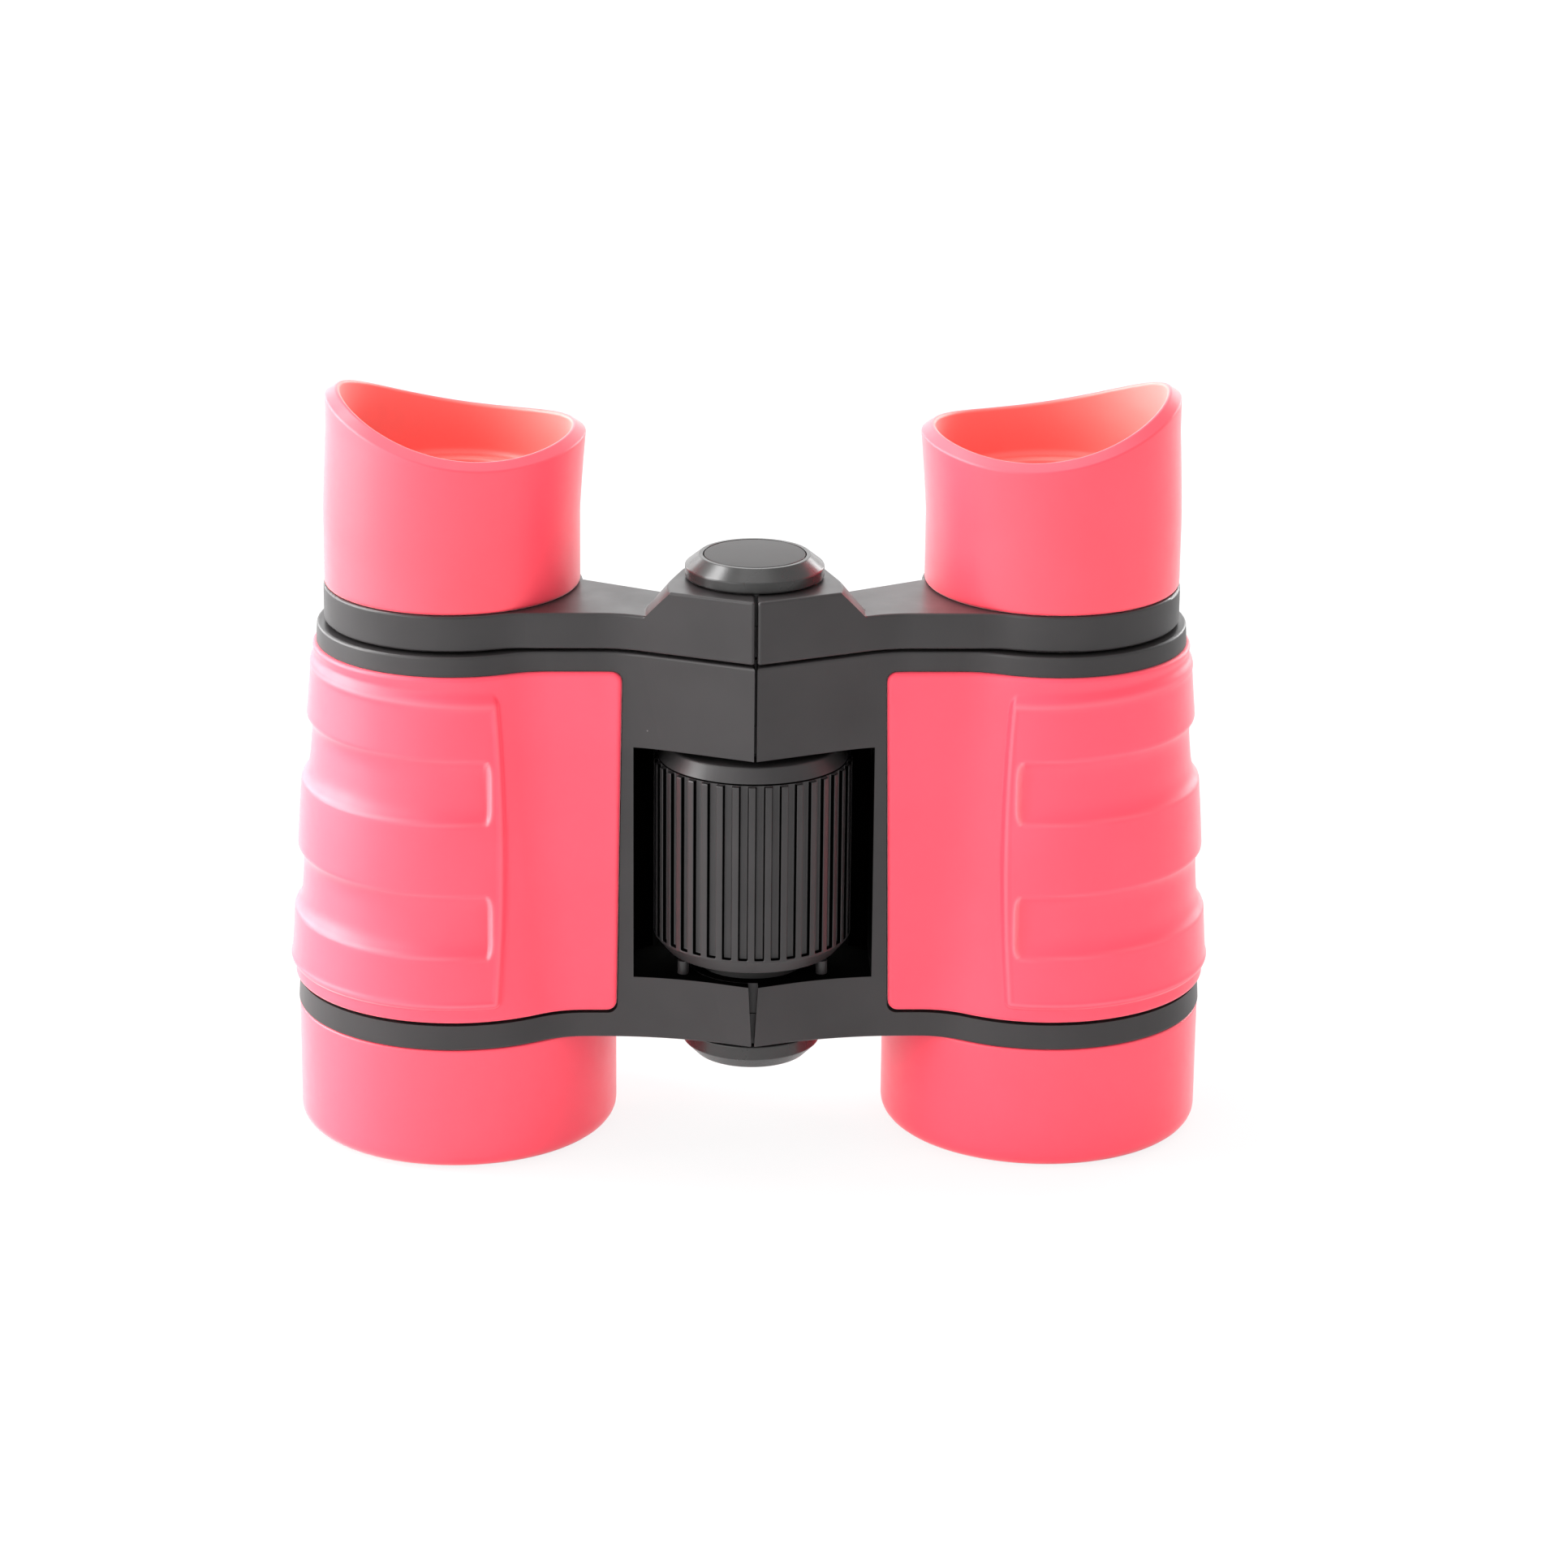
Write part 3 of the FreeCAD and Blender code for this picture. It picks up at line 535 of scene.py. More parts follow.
def groove_painted_shade(tree, place):
    """1 where shade is painted: on the grooves' side walls and the narrow lip above the ribs."""
    axes = axes_of(tree, place)
    distance = from_axis(tree, axes[0], axes[1], hinge_x, hinge_y)
    wall = within(tree, distance, core_radius + wall_margin, wheel_radius - wall_margin,
                  mask_soft)
    along = within(tree, axes[2], (rib_low + wall_start) * mm, (rib_high - wall_end) * mm,
                   mask_soft * mm)
    lip = within(tree, axes[2], (rib_high + lip_start) * mm, (rib_high + core_lip) * mm,
                 mask_soft * mm)
    return math_node(tree, "MAXIMUM", math_node(tree, "MULTIPLY", wall, along), lip)


def disc_face(tree, place):
    """1 on the top of the inset disc, which is matter than the ring round it."""
    axes = axes_of(tree, place)
    distance = from_axis(tree, axes[0], axes[1], hinge_x, hinge_y)
    return remap(tree, distance, disc_radius - 0.05, disc_radius + 0.05, 1, 0)


print(f"groove floor at {core_radius:.2f} mm, rib tops at {wheel_radius:.2f} mm")

# %% [markdown]
# ## Metal and glass
# Screw, pin and bush are turned metal. Most of it is hidden, and the screw shows when the bridge
# is up. The lenses are clear glass with a barely uneven polish, so that one can look into them.

# %% Metal and glass
def metal(name, colour, roughness):
    """Turned metal with fine marks."""
    material, tree, shader, place = new_material(name)
    marks = remap(tree, noise(tree, place, 0.5, 4.0), 0.3, 0.7, roughness - 0.06, roughness + 0.08)
    tree.links.new(marks, shader.inputs["Roughness"])
    tone = remap(tree, noise(tree, place, 3.0), 0.3, 0.7, 0, 1)
    worn = tuple(channel * 0.8 for channel in colour)
    tree.links.new(blend_colours(tree, tone, colour, worn), shader.inputs["Base Color"])
    shader.inputs["Metallic"].default_value = 1.0
    return material


def glass(name):
    """Clear polished lens with the faintest uneven polish."""
    material, tree, shader, place = new_material(name)
    shader.inputs["Base Color"].default_value = (0.93, 0.97, 0.96, 1)
    shader.inputs["Transmission Weight"].default_value = 1.0
    shader.inputs["IOR"].default_value = 1.49
    polish = remap(tree, noise(tree, place, 4.0), 0.3, 0.7, 0.0, 0.03)
    tree.links.new(polish, shader.inputs["Roughness"])
    return material


print("metal and glass are ready")

# %% [markdown]
# ## Every piece gets its finish
# One table holds the finish of each material slot, so that two pieces of one slot can't drift
# apart. All construction nodes get theirs here, also those that stay as they are.

# %% Finishes
materials = {
    "grip_rubber": grip_rubber,
    "hood_rubber": hood_rubber,
    "eyecup_rubber": eyecup_rubber,
    "body_plastic": plastic("body_plastic", (0.0255, 0.0232, 0.0238), 0.35, 0.2,
                            shade=window_painted_shade),
    "wheel_plastic": plastic("wheel_plastic", (0.026, 0.024, 0.0246), 0.36, 0.30,
                             shade=groove_painted_shade),
    "cap_plastic": plastic("cap_plastic", (0.026, 0.0255, 0.0252), 0.26, 0.10,
                           matter=disc_face),
    "inner_plastic": plastic("inner_plastic", (0.012, 0.012, 0.012), 0.6, 0.4),
    "lens_glass": glass("lens_glass"),
    "steel": metal("steel", (0.56, 0.56, 0.57), 0.32),
    "brass": metal("brass", (0.72, 0.48, 0.20), 0.30),
}
for node, part in frame["nodes"].items():
    part.data.materials.clear()
    part.data.materials.append(materials[slot_of[node]])
print("materials:", ", ".join(materials))

# %% [markdown]
# A new piece stands for a construction node. It wears the same finish, rides on the same body and
# takes the node's place, so that everything moves as the construction does.

# %% Dress a new piece
def dress(piece, node):
    """The piece stands for a construction node: same body, same finish, node hidden."""
    piece.data.materials.clear()
    piece.data.materials.append(materials[slot_of[node]])
    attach(piece, body_of[node])
    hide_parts(node)
    return piece


print("bodies to ride on:", len(set(body_of.values())))

# %% [markdown]
# ## The grips
# A grip is a sheet of rubber set into the barrel: it follows the barrel and the web, stands a
# little proud, has a raised panel on its outer part, and two finger grooves across the panel. The
# construction model has nearly the same outline, with crisp edges and round troughs. Here it is
# one height field over the barrel's skin, so that one formula can round every edge. The skin is
# ruled between two outlines in plan, at the foot and at the top. Each outline is a chain of arcs
# and straight runs that touch.

# %% The skin of the left half in plan
foot_radius, top_radius = 18.25, 15.3
foot_web, top_web = 13.95, 13.05
foot_bend = {"start": 17.0, "radius": 42.0, "angle": 19.5}
top_bend = {"start": 17.3, "radius": 12.0, "angle": 23.0}
front_cove, back_cove = 10.0, 4.0


def bow(centre, radius, start, end, steps, sign):
    """Points and outward normals of an arc; sign -1 where the centre lies outside the body."""
    angle = np.radians(np.linspace(start, end, steps))
    ray = np.stack([np.cos(angle), np.sin(angle)], axis=-1)
    return np.array(centre) + radius * ray, sign * ray


def skin_outline(radius, web, bend):
    """Plan of the left half from the front cheek round the barrel to the back web."""
    front, back = barrel_y - web, barrel_y + back_web
    cove_x = barrel_x + math.sqrt((radius + front_cove) ** 2 - (web + front_cove) ** 2)
    rear_x = barrel_x + math.sqrt((radius + back_cove) ** 2 - (back_web + back_cove) ** 2)
    to_cove = math.degrees(math.atan2(-(web + front_cove), cove_x - barrel_x))
    to_rear = math.degrees(math.atan2(back_web + back_cove, rear_x - barrel_x))
    bend_centre = (-bend["start"], front - bend["radius"])
    web_points = np.linspace((-bend["start"], front), (cove_x, front), 20)
    back_points = np.linspace((rear_x, back), (0, back), 40)
    stretches = [
        bow(bend_centre, bend["radius"], 90 - bend["angle"], 90, 120, -1),
        (web_points, np.tile([0.0, -1.0], (len(web_points), 1))),
        bow((cove_x, front - front_cove), front_cove, 90, 180 + to_cove, 80, -1),
        bow(barrel_axis, radius, to_cove, -180, 260, 1),
        bow(barrel_axis, radius, -180, to_rear - 360, 300, 1),
        bow((rear_x, back + back_cove), back_cove, 180 + to_rear, 270, 80, -1),
        (back_points, np.tile([0.0, 1.0], (len(back_points), 1))),
    ]
    points = np.concatenate([stretch[0] for stretch in stretches])
    normals = np.concatenate([stretch[1] for stretch in stretches])
    return points, normals


foot_points, foot_normals = skin_outline(foot_radius, foot_web, foot_bend)
top_points, top_normals = skin_outline(top_radius, top_web, top_bend)
print("skin outline:", len(foot_points), "points")

# %% [markdown]
# All sizes of the grip stand together, because they were tuned together against the picture. The
# outline comes from the frame. What stands proud, sinks in or rounds off is in millimetres over
# the barrel's skin.

# %% Sizes of the grip
grip_low, grip_high = box_mm("left_grip")
edge_low, edge_high = 0.65 - grip_high[0], -grip_high[0]
grip_depth, grip_proud, panel_proud = 1.15, 0.45, 0.55
grip_corner, rim_radius = 1.1, 0.5
gap_below, gap_around = 0.42, 0.09
shoulder_taper, shoulder_start, shoulder_rise, shoulder_run = 0.45, 22, 20, 12
foot_swell, swell_height = 0.12, 9
panel_edge, panel_bow = barrel_x + 5.03, 0.7
panel_margin_low, panel_margin_high = 1.75, 2.35
panel_corner, panel_step = 0.6, 0.62
panel_bead, bead_inside, bead_spread = 0.10, 0.60, 0.24
tilt = math.tan(math.radians(2.2))
groove_end, groove_end_bow = barrel_x + 3.75, 0.55
groove_levels = (foot + 14.4, foot + 29.8)
groove_width, groove_depth, groove_wall = 7.4, 0.8, 0.36
trough_power, trough_soft = 4.5, 0.04
row_count, column_count = 150, 264
rim_rows = rim_radius * (1 - np.cos(np.radians(np.linspace(0, 90, 7))))
print(f"grip from {grip_low[2]:.2f} to {grip_high[2]:.2f} mm")

# %% [markdown]
# Where do the rows and columns of the field lie? Evenly spread ones would need to be very many.
# So they crowd at the border, where the rim is rounded, and where the panel and the grooves end.
# Along a row, distance is measured on the skin, like a tape laid round the barrel.

# %% Rows and columns of the grip
def row_on_skin(level, shift):
    """One row: positions, normals and tape distances between the grip's two upright borders."""
    share = (level - foot) / (top - foot)
    edge = np.interp(level, (grip_low[2], grip_high[2]), (edge_low, edge_high))
    points = foot_points * (1 - share) + top_points * share
    normals = foot_normals * (1 - share) + top_normals * share
    tape = np.concatenate([[0], np.cumsum(np.linalg.norm(np.diff(points, axis=0), axis=1))])
    far = int(np.argmin(points[:, 0]))
    start = np.interp(edge, -points[:far, 0], tape[:far]) + gap_around
    end = np.interp(-edge, points[far:, 0], tape[far:]) - gap_around
    return points, normals, tape, start + shift, end - shift


def even_shares(weight, count):
    """Places along 0 to 1 that lie close together where the weight is high."""
    crowd = np.cumsum(weight)
    crowd = (crowd - crowd[0]) / (crowd[-1] - crowd[0])
    return np.interp(np.linspace(0, 1, count), crowd, np.linspace(0, 1, len(weight)))


def grip_rows(low, high, count):
    """Levels of the rows: close together at the rims and where the panel's edges run."""
    level = np.linspace(low + rim_radius, high - rim_radius, 2001)
    lower_edge = np.abs(level - low - panel_margin_low - 0.25) < 0.75
    upper_edge = np.abs(level - high + panel_margin_high + 0.9) < 1.2
    share = even_shares(1 + 1.6 * (lower_edge | upper_edge), count)
    inside = level[0] + (level[-1] - level[0]) * share
    return np.concatenate([low + rim_rows[:-1], inside, high - rim_rows[-2::-1]])


def column_shares(count):
    """Shares along a row, close together where the panel and above all the grooves end."""
    points, normals, tape, start, end = row_on_skin(sum(groove_levels) / 2, rim_radius)
    far = int(np.argmin(points[:, 0]))
    share = np.linspace(0, 1, 4001)
    weight = 1.0
    for place, near, times in ((panel_edge - 0.1, 0.9, 1.6), (groove_end + 0.35, 0.55, 5.0)):
        front = np.interp(-place, -points[:far, 0], tape[:far])
        back = np.interp(place, points[far:, 0], tape[far:])
        for middle in (front, back):
            weight = weight + times * (np.abs(start + (end - start) * share - middle) < near)
    return even_shares(weight, count)


print("rows start at", np.round(grip_rows(grip_low[2], grip_high[2], row_count)[:3], 2))

# %% [markdown]
# Rows and columns together make the grid. Near the grip's corners a row is shorter by what the
# rounded corner takes away. Each point keeps its normal, along which the field will lift it.

# %% The grid on the skin
def lay(rows_z, columns):
    """Grid of skin points with their normals and their distances from the row's two borders."""
    low, high = rows_z[0], rows_z[-1]
    to_level = np.minimum(rows_z - low, high - rows_z)
    cut = np.clip(grip_corner - to_level, 0, None)
    shifts = grip_corner - np.sqrt(np.clip(grip_corner ** 2 - cut ** 2, 0, None))
    grids = []
    for level, shift in zip(rows_z, shifts):
        points, normals, tape, start, end = row_on_skin(level, shift)
        length = end - start
        rim = rim_rows[:-1]
        inside = rim_radius + (length - 2 * rim_radius) * columns
        along = start + np.concatenate([rim, inside, length - rim[::-1]])
        grids.append(np.stack([
            np.interp(along, tape, points[:, 0]), np.interp(along, tape, points[:, 1]),
            np.full(len(along), level),
            np.interp(along, tape, normals[:, 0]), np.interp(along, tape, normals[:, 1]),
            along - start + shift, end + shift - along], axis=-1))
    return np.stack(grids)


print("a small grid:", lay(grip_rows(grip_low[2], grip_high[2], 5), np.linspace(0, 1, 7)).shape)

# %% [markdown]
# Now the heights over the skin. The panel is a step that follows the distance inside a rounded
# rectangle, with a low bead along its edge that catches a thin line of light. The grooves are
# troughs with a nearly flat floor that end in a short wall with bowed corners.

# %% Panel and grooves
def rounded_box(from_side, from_level, corner):
    """Distance inside a rectangle with rounded corners, below zero outside it."""
    side, level = corner - from_side, corner - from_level
    outside = np.hypot(np.clip(side, 0, None), np.clip(level, 0, None))
    return corner - outside - np.minimum(np.maximum(side, level), 0)


def inside_panel(x, z, low, high):
    """Distance inside the panel's outline, a rounded rectangle whose top rises outwards."""
    outwards = panel_edge - x
    from_low = z - low - panel_margin_low
    from_high = high - panel_margin_high + tilt * outwards - z
    middle = (from_high - from_low) / (from_high + from_low)
    from_side = outwards + panel_bow * (1 - middle ** 2)
    return rounded_box(from_side, np.minimum(from_low, 0.6 * from_high), panel_corner)


def panel_lift(inside):
    """Raised panel: a step with a low bead along its edge."""
    bead = panel_bead * np.exp(-((inside - bead_inside) / bead_spread) ** 2)
    return panel_proud * smooth(inside / panel_step + 0.5) + bead


def finger_grooves(x, z):
    """Two troughs with a nearly flat floor that end in a short wall with bowed corners."""
    sunk = 0
    for level in groove_levels:
        middle = (z - level - tilt * (groove_end - x)) / (groove_width / 2)
        across = 1 - np.abs(middle) ** trough_power
        soft = np.clip(across / trough_soft, -60, 60)
        trough = trough_soft * np.log1p(np.exp(soft))
        end = groove_end + groove_end_bow * np.clip(1 - middle ** 6, 0, 1)
        sunk = sunk + groove_depth * trough * smooth((end - x) / groove_wall)
    return sunk


print("grooves at", np.round(groove_levels, 1), "mm, panel from x", round(panel_edge, 2))

# %% [markdown]
# Pale lines run along the ends of the grooves, and fainter ones along their rims and the panel's
# edge. On the real thing the edges catch the light there. Lamps alone didn't bring that out, so
# these highlights are painted: a number at each point, which the material turns into a paler
# pink.

# %% Painted edge highlights
edge_end, edge_lower, edge_upper, edge_panel = 0.34, 0.10, 0.07, 0.10


def painted_highlights(x, z, panel):
    """Painted highlight, 0 to 1: groove ends most, then their rims and the panel's edge."""
    pale = edge_panel * np.exp(-((panel - bead_inside + 0.1) / 0.16) ** 2)
    for level in groove_levels:
        middle = (z - level - tilt * (groove_end - x)) / (groove_width / 2)
        end = groove_end + groove_end_bow * np.clip(1 - middle ** 6, 0, 1)
        into = end - x
        stroke = np.exp(-((into - 0.12) / 0.24) ** 2) * smooth((1.03 - np.abs(middle)) / 0.12)
        rim = np.exp(-((np.abs(middle) - 0.97) / 0.045) ** 2) * smooth(into / 0.5 + 0.5)
        rim = rim * np.where(middle < 0, edge_lower, edge_upper)
        pale = np.maximum(pale, np.maximum(edge_end * stroke, rim))
    return np.clip(pale, 0, 1)


print("strongest mark:", edge_end)

# %% [markdown]
# The cover is closed: the field in front, a plain copy of the skin behind, and a narrow band
# round the border that joins the two. The border itself is rounded by a quarter circle.

# %% Both grips
def grip_cover(side):
    """Closed rubber cover: rounded field in front, plain copy of the skin behind."""
    rows_z = grip_rows(grip_low[2] + gap_below, grip_high[2] - gap_around, row_count)
    grid = lay(rows_z, column_shares(column_count))
    x, y, z, normal_x, normal_y, from_start, from_end = np.moveaxis(grid, -1, 0)
    height = z - foot
    from_level = np.minimum(z - rows_z[0], rows_z[-1] - z)
    inside = rounded_box(np.minimum(from_start, from_end), from_level, grip_corner)
    dip = np.clip(rim_radius - inside, 0, rim_radius)
    rim = np.sqrt(rim_radius ** 2 - dip ** 2) - rim_radius
    taper = shoulder_taper * smooth((height - shoulder_start) / shoulder_rise)
    taper = taper * smooth((panel_edge - x) / shoulder_run)
    swell = foot_swell * smooth(1 - height / swell_height)
    panel = inside_panel(x, z, rows_z[0], rows_z[-1])
    lift = grip_proud + rim + swell + panel_lift(panel)
    lift = lift - finger_grooves(x, z) - taper * smooth(inside / 2)
    lift = np.pad(lift, 1, constant_values=-grip_depth)
    wide = [np.pad(part, 1, mode="edge") for part in (x, y, z, normal_x, normal_y)]
    front = np.stack([wide[0] + wide[3] * lift, wide[1] + wide[4] * lift, wide[2]], axis=-1)
    behind = np.stack([x - normal_x * grip_depth, y - normal_y * grip_depth, z], axis=-1)
    front_quads = quads_of(*front.shape[:2])
    back_quads = quads_of(*behind.shape[:2], first=front.shape[0] * front.shape[1])[:, ::-1]
    points = np.concatenate([front.reshape(-1, 3), behind.reshape(-1, 3)])
    # The front field carries the painted highlights; the back copy gets none.
    marks = np.concatenate([np.pad(painted_highlights(x, z, panel), 1).ravel(), np.zeros(x.size)])
    name = ("left" if side > 0 else "right") + "_grip_cover"
    return make_mesh(name, points, np.concatenate([front_quads, back_quads]), side, marks)


for hand, side in (("left", 1), ("right", -1)):
    dress(grip_cover(side), hand + "_grip")

# %% [markdown]
# ## The hoods
# A hood is a short rubber tube in front of the objective. Its lower rim is rounded, its mouth is
# open, and a thin lip inside carries the lens. It is turned from one closed outline.

# %% Both hoods
hood_radius = (hood_high[0] - hood_low[0]) / 2
mouth_radius, mouth_depth = 15.7, 6.3
lip_radius, lip_thickness = 14.1, 0.9
lens_room = 15.05
socket_radius, socket_depth = 16.3, 4.0
hood_corners = [
    (mouth_radius, 0), (hood_radius, 0), (hood_radius, foot), (socket_radius, foot),
    (socket_radius, foot - socket_depth), (lens_room, foot - socket_depth),
    (lens_room, mouth_depth + lip_thickness), (lip_radius, mouth_depth + lip_thickness),
    (lip_radius, mouth_depth), (mouth_radius, mouth_depth)]
hood_radii = [0.4, 1.9, 0.3, 0.15, 0.1, 0.1, 0.1, 0.15, 0.15, 0.2]
for hand, side in (("left", 1), ("right", -1)):
    hood = turned(hand + "_hood_shell", hood_corners, hood_radii, barrel_axis, side=side)
    dress(hood, hand + "_hood")

# %% [markdown]
# ## The eyecups
# An eyecup is a rubber sleeve whose rim rises to a wing on the outer side, dips in front and
# behind, and rises a little towards the nose. Seen from the front, the rim lies on a circle
# through three heights. The wall leans towards the nose and widens gently as it rises.

# %% Rim and lean of a cup
cup_radius, cup_wall = 14.3, 1.65
cup_seat = arm_top + 9.9
cup_floor = 1.3
eye_hole, bead_width, bead_height = 9.5, 1.2, 0.28
sleeve_radius = 12.25
rim_places = np.array([(-14.1, 22.75), (0.0, 17.3), (14.1, 18.25)])
rim_corner, rim_drop, rim_normal = 0.36, 0.62, 61.0
base_corner, floor_fillet = 0.5, 0.7
cup_shift_low, cup_shift, cup_flare = -0.1, 0.6, 0.15
cup_straight, cup_turn = 8.0, 10.0


def rim_level(angle):
    """Height of the rim at an angle: on the circle through three heights, seen from the front."""
    system = np.column_stack([2 * rim_places, np.ones(3)])
    middle_x, middle_z, rest = np.linalg.solve(system, np.sum(rim_places ** 2, axis=1))
    radius = math.sqrt(rest + middle_x ** 2 + middle_z ** 2)
    across = (cup_radius - cup_wall / 2) * np.cos(angle)
    circle = middle_z - np.sqrt(radius ** 2 - (across - middle_x) ** 2)
    return arm_top + circle


def on_cup(radius, level, angle):
    """Point of the cup's wall: above its straight part it shifts to the middle and widens."""
    lean = np.clip((level - arm_top - cup_straight) / cup_turn, 0, 1) ** 1.2
    wide = radius + cup_flare * lean
    shift = cup_shift_low + cup_shift * lean
    return np.stack(np.broadcast_arrays(barrel_x + shift + wide * np.cos(angle),
                                        barrel_y + wide * np.sin(angle), level), axis=-1)


def corner_rings(middle_radius, middle_level, size, start, end, steps=9):
    """Rings of a rounded corner: an arc of the outline between two angles in degrees."""
    return [(middle_radius + size * math.cos(turn), middle_level + size * math.sin(turn))
            for turn in np.radians(np.linspace(start, end, steps))]


print("rim heights:", np.round(rim_level(np.radians([0, 90, 180])), 2))

# %% [markdown]
# Each column of points is the cup's outline at one angle: up the outer wall, over the rim, down
# inside, across the floor with its small bead, and back down inside the sleeve. The rim slopes
# outwards between two small corners, so its inner edge stands highest.

# %% Both eyecups
cup_sides = 220


def eyecup(side):
    """Closed cup from the rings of its outline, each at all angles."""
    angle = np.linspace(0, 2 * math.pi, cup_sides, endpoint=False)
    rim = rim_level(angle)
    floor_top = cup_seat + cup_floor
    inner = cup_radius - cup_wall
    bead = eye_hole + bead_width
    rings = corner_rings(cup_radius - base_corner, arm_top + base_corner, base_corner, -90, 0, 6)
    low = arm_top + base_corner
    high = rim - rim_drop - rim_corner
    rings += [(cup_radius, low + (high - low) * share) for share in np.linspace(0.03, 0.985, 30)]
    rings += corner_rings(cup_radius - rim_corner, high, rim_corner, 0, rim_normal)
    slope_start = rings[-1]
    slope_end = corner_rings(inner + rim_corner, rim - rim_corner, rim_corner, rim_normal, 180)
    rings += [(slope_start[0] + (slope_end[0][0] - slope_start[0]) * share,
               slope_start[1] + (slope_end[0][1] - slope_start[1]) * share)
              for share in (0.06, 0.2, 0.5, 0.8, 0.94)]
    rings += slope_end
    high = rim - rim_corner
    low = floor_top + floor_fillet
    rings += [(inner, high + (low - high) * share) for share in np.linspace(0.015, 1, 24)]
    rings += corner_rings(inner - floor_fillet, low, floor_fillet, -15, -90, 6)
    rings += [(bead + 0.15, floor_top), (bead, floor_top + bead_height * 0.7),
              (bead - 0.2, floor_top + bead_height), (eye_hole + 0.3, floor_top + bead_height),
              (eye_hole + 0.08, floor_top + bead_height * 0.6), (eye_hole, floor_top - 0.1),
              (eye_hole, cup_seat + 0.03), (sleeve_radius + 0.02, cup_seat + 0.03),
              (sleeve_radius + 0.02, arm_top)]
    points = np.stack([on_cup(radius, level + 0 * angle, angle) for radius, level in rings])
    quads = quads_of(len(rings), len(angle), around_rows=True, around_columns=True)
    return make_mesh(("left" if side > 0 else "right") + "_eyecup_shell", points, quads, side)


for hand, side in (("left", 1), ("right", -1)):
    dress(eyecup(side), hand + "_eyecup")

# %% [markdown]
# ## The focus wheel
# The wheel is turned too, but its rim is ribbed: ribs with shallow grooves between them that stop
# at the bevels. The radius is therefore a function of both the height and the angle. Within one
# rib, the points crowd at the groove's slanted walls, because only the walls change quickly. The
# bore is plain here. In the construction it narrows to hold the hinge pin and the screw, which is
# hidden while the wheel is in its place.

# %% Ribbed wheel
rib_count, rib_phase = 38, 0.32
groove_half, groove_slope = 0.31, 0.09
wheel_wall, wheel_hub, bore_radius = 2.6, 6.2, 4.1
wheel_plate = 5.0
wheel_radii = [0.2, 0.35, 0.08, 0.06, 0.22, 0.3, 0.35, 0.2, 0.2, 0.2, 0.2, 0.2]


def groove_share(position):
    """1 in the groove, 0 on the rib, over a place within one pitch from -0.5 to 0.5."""
    return 1 - smooth((np.abs(position) - groove_half) / groove_slope + 1)


def focus_wheel():
    """Turned outline whose part outside the core is cut away along the grooves.

    The ribs end in steps under the upper bevel; the grooves end in walls over the lower one.
    """
    rim = wheel_radius - wheel_bevel
    corners = [
        (bore_radius, wheel_top), (rim, wheel_top), (core_radius, rib_high + core_lip),
        (core_radius, rib_high), (wheel_radius, rib_high),
        (wheel_radius, rib_low), (rim, wheel_foot), (wheel_radius - wheel_wall, wheel_foot),
        (wheel_radius - wheel_wall, wheel_top - wheel_plate), (wheel_hub, wheel_top - wheel_plate),
        (wheel_hub, wheel_foot), (bore_radius, wheel_foot)]
    outline = rounded(corners, wheel_radii, 6)
    last = np.flatnonzero(np.abs(outline[:, 0] - wheel_radius) < 1e-6)[-1]
    levels = rib_low + np.array([0.9, 0.6, 0.44, 0.38, 0.32, 0.26, 0.2, 0.14])
    wall = np.stack([np.full(len(levels), wheel_radius), levels], axis=-1)
    run = np.flatnonzero(np.abs(outline[:last, 0] - wheel_radius) < 1e-6)
    crossed = run[outline[run, 1] < levels[0]]
    outline = np.insert(outline, last, wall, axis=0)
    outline = np.delete(outline, crossed, axis=0)
    wall_places = groove_half + groove_slope * np.array([-1.05, -0.75, -0.4, 0.0, 0.3])
    pattern = np.concatenate([[-0.5], -wall_places[::-1], [-0.1, 0.1], wall_places])
    rib = np.arange(rib_count)[:, None] + pattern[None] + rib_phase
    angle = (rib * 2 * math.pi / rib_count - math.pi / 2).ravel()
    share = groove_share(np.tile(pattern, rib_count))
    radius, height = outline[:, 0:1], outline[:, 1:2]
    sunk = smooth((height - rib_low - 0.14) / 0.24)
    radius = radius - np.clip(radius - core_radius, 0, None) * sunk * share[None]
    points = np.stack([hinge_x + radius * np.cos(angle), hinge_y + radius * np.sin(angle),
                       height + 0 * angle[None]], axis=-1)
    quads = quads_of(len(outline), len(angle), around_rows=True, around_columns=True)
    return make_mesh("ribbed_wheel", points, quads)


dress(focus_wheel(), "focus_wheel")

# %% [markdown]
# ## Caps on the hinge
# A bevelled cap with an inset disc closes the hub, and a plain round cap closes the hinge below.
# Both are turned, and each has its own cell below. A hair of a gap round the disc gives the dark
# ring that sets it off.

# %% Cap of the hub
cap_low, cap_high = box_mm("bridge_cap")
cap_radius = (cap_high[0] - cap_low[0]) / 2
cap_bevel, cap_inset, cap_neck, cap_neck_height, cap_bore = 1.25, 1.55, 7.2, 0.1, 5.0
disc_height, disc_crown, disc_gap, disc_corner = 0.7, 0.14, 0.12, 0.12
seat = cap_high[2] - disc_height
cap_corners = [
    (cap_bore, cap_low[2]), (cap_neck, cap_low[2]), (cap_neck, cap_low[2] + cap_neck_height),
    (cap_radius, cap_low[2] + cap_neck_height), (cap_radius, cap_high[2] - cap_bevel),
    (cap_radius - cap_inset, cap_high[2]), (disc_radius + disc_gap, cap_high[2]),
    (disc_radius + disc_gap, seat), (cap_bore, seat)]
cap_radii = [0.03, 0.03, 0.03, 0.2, 0.25, 0.2, 0.08, 0.03, 0.03]
dress(turned("hub_cap", cap_corners, cap_radii, hinge_axis), "bridge_cap")

# %% [markdown]
# The disc has a slight crown, so that it shows one soft light across its top. Its height over the
# cap falls with the square of the distance from the middle.

# %% Disc in the cap
disc_sides = 160


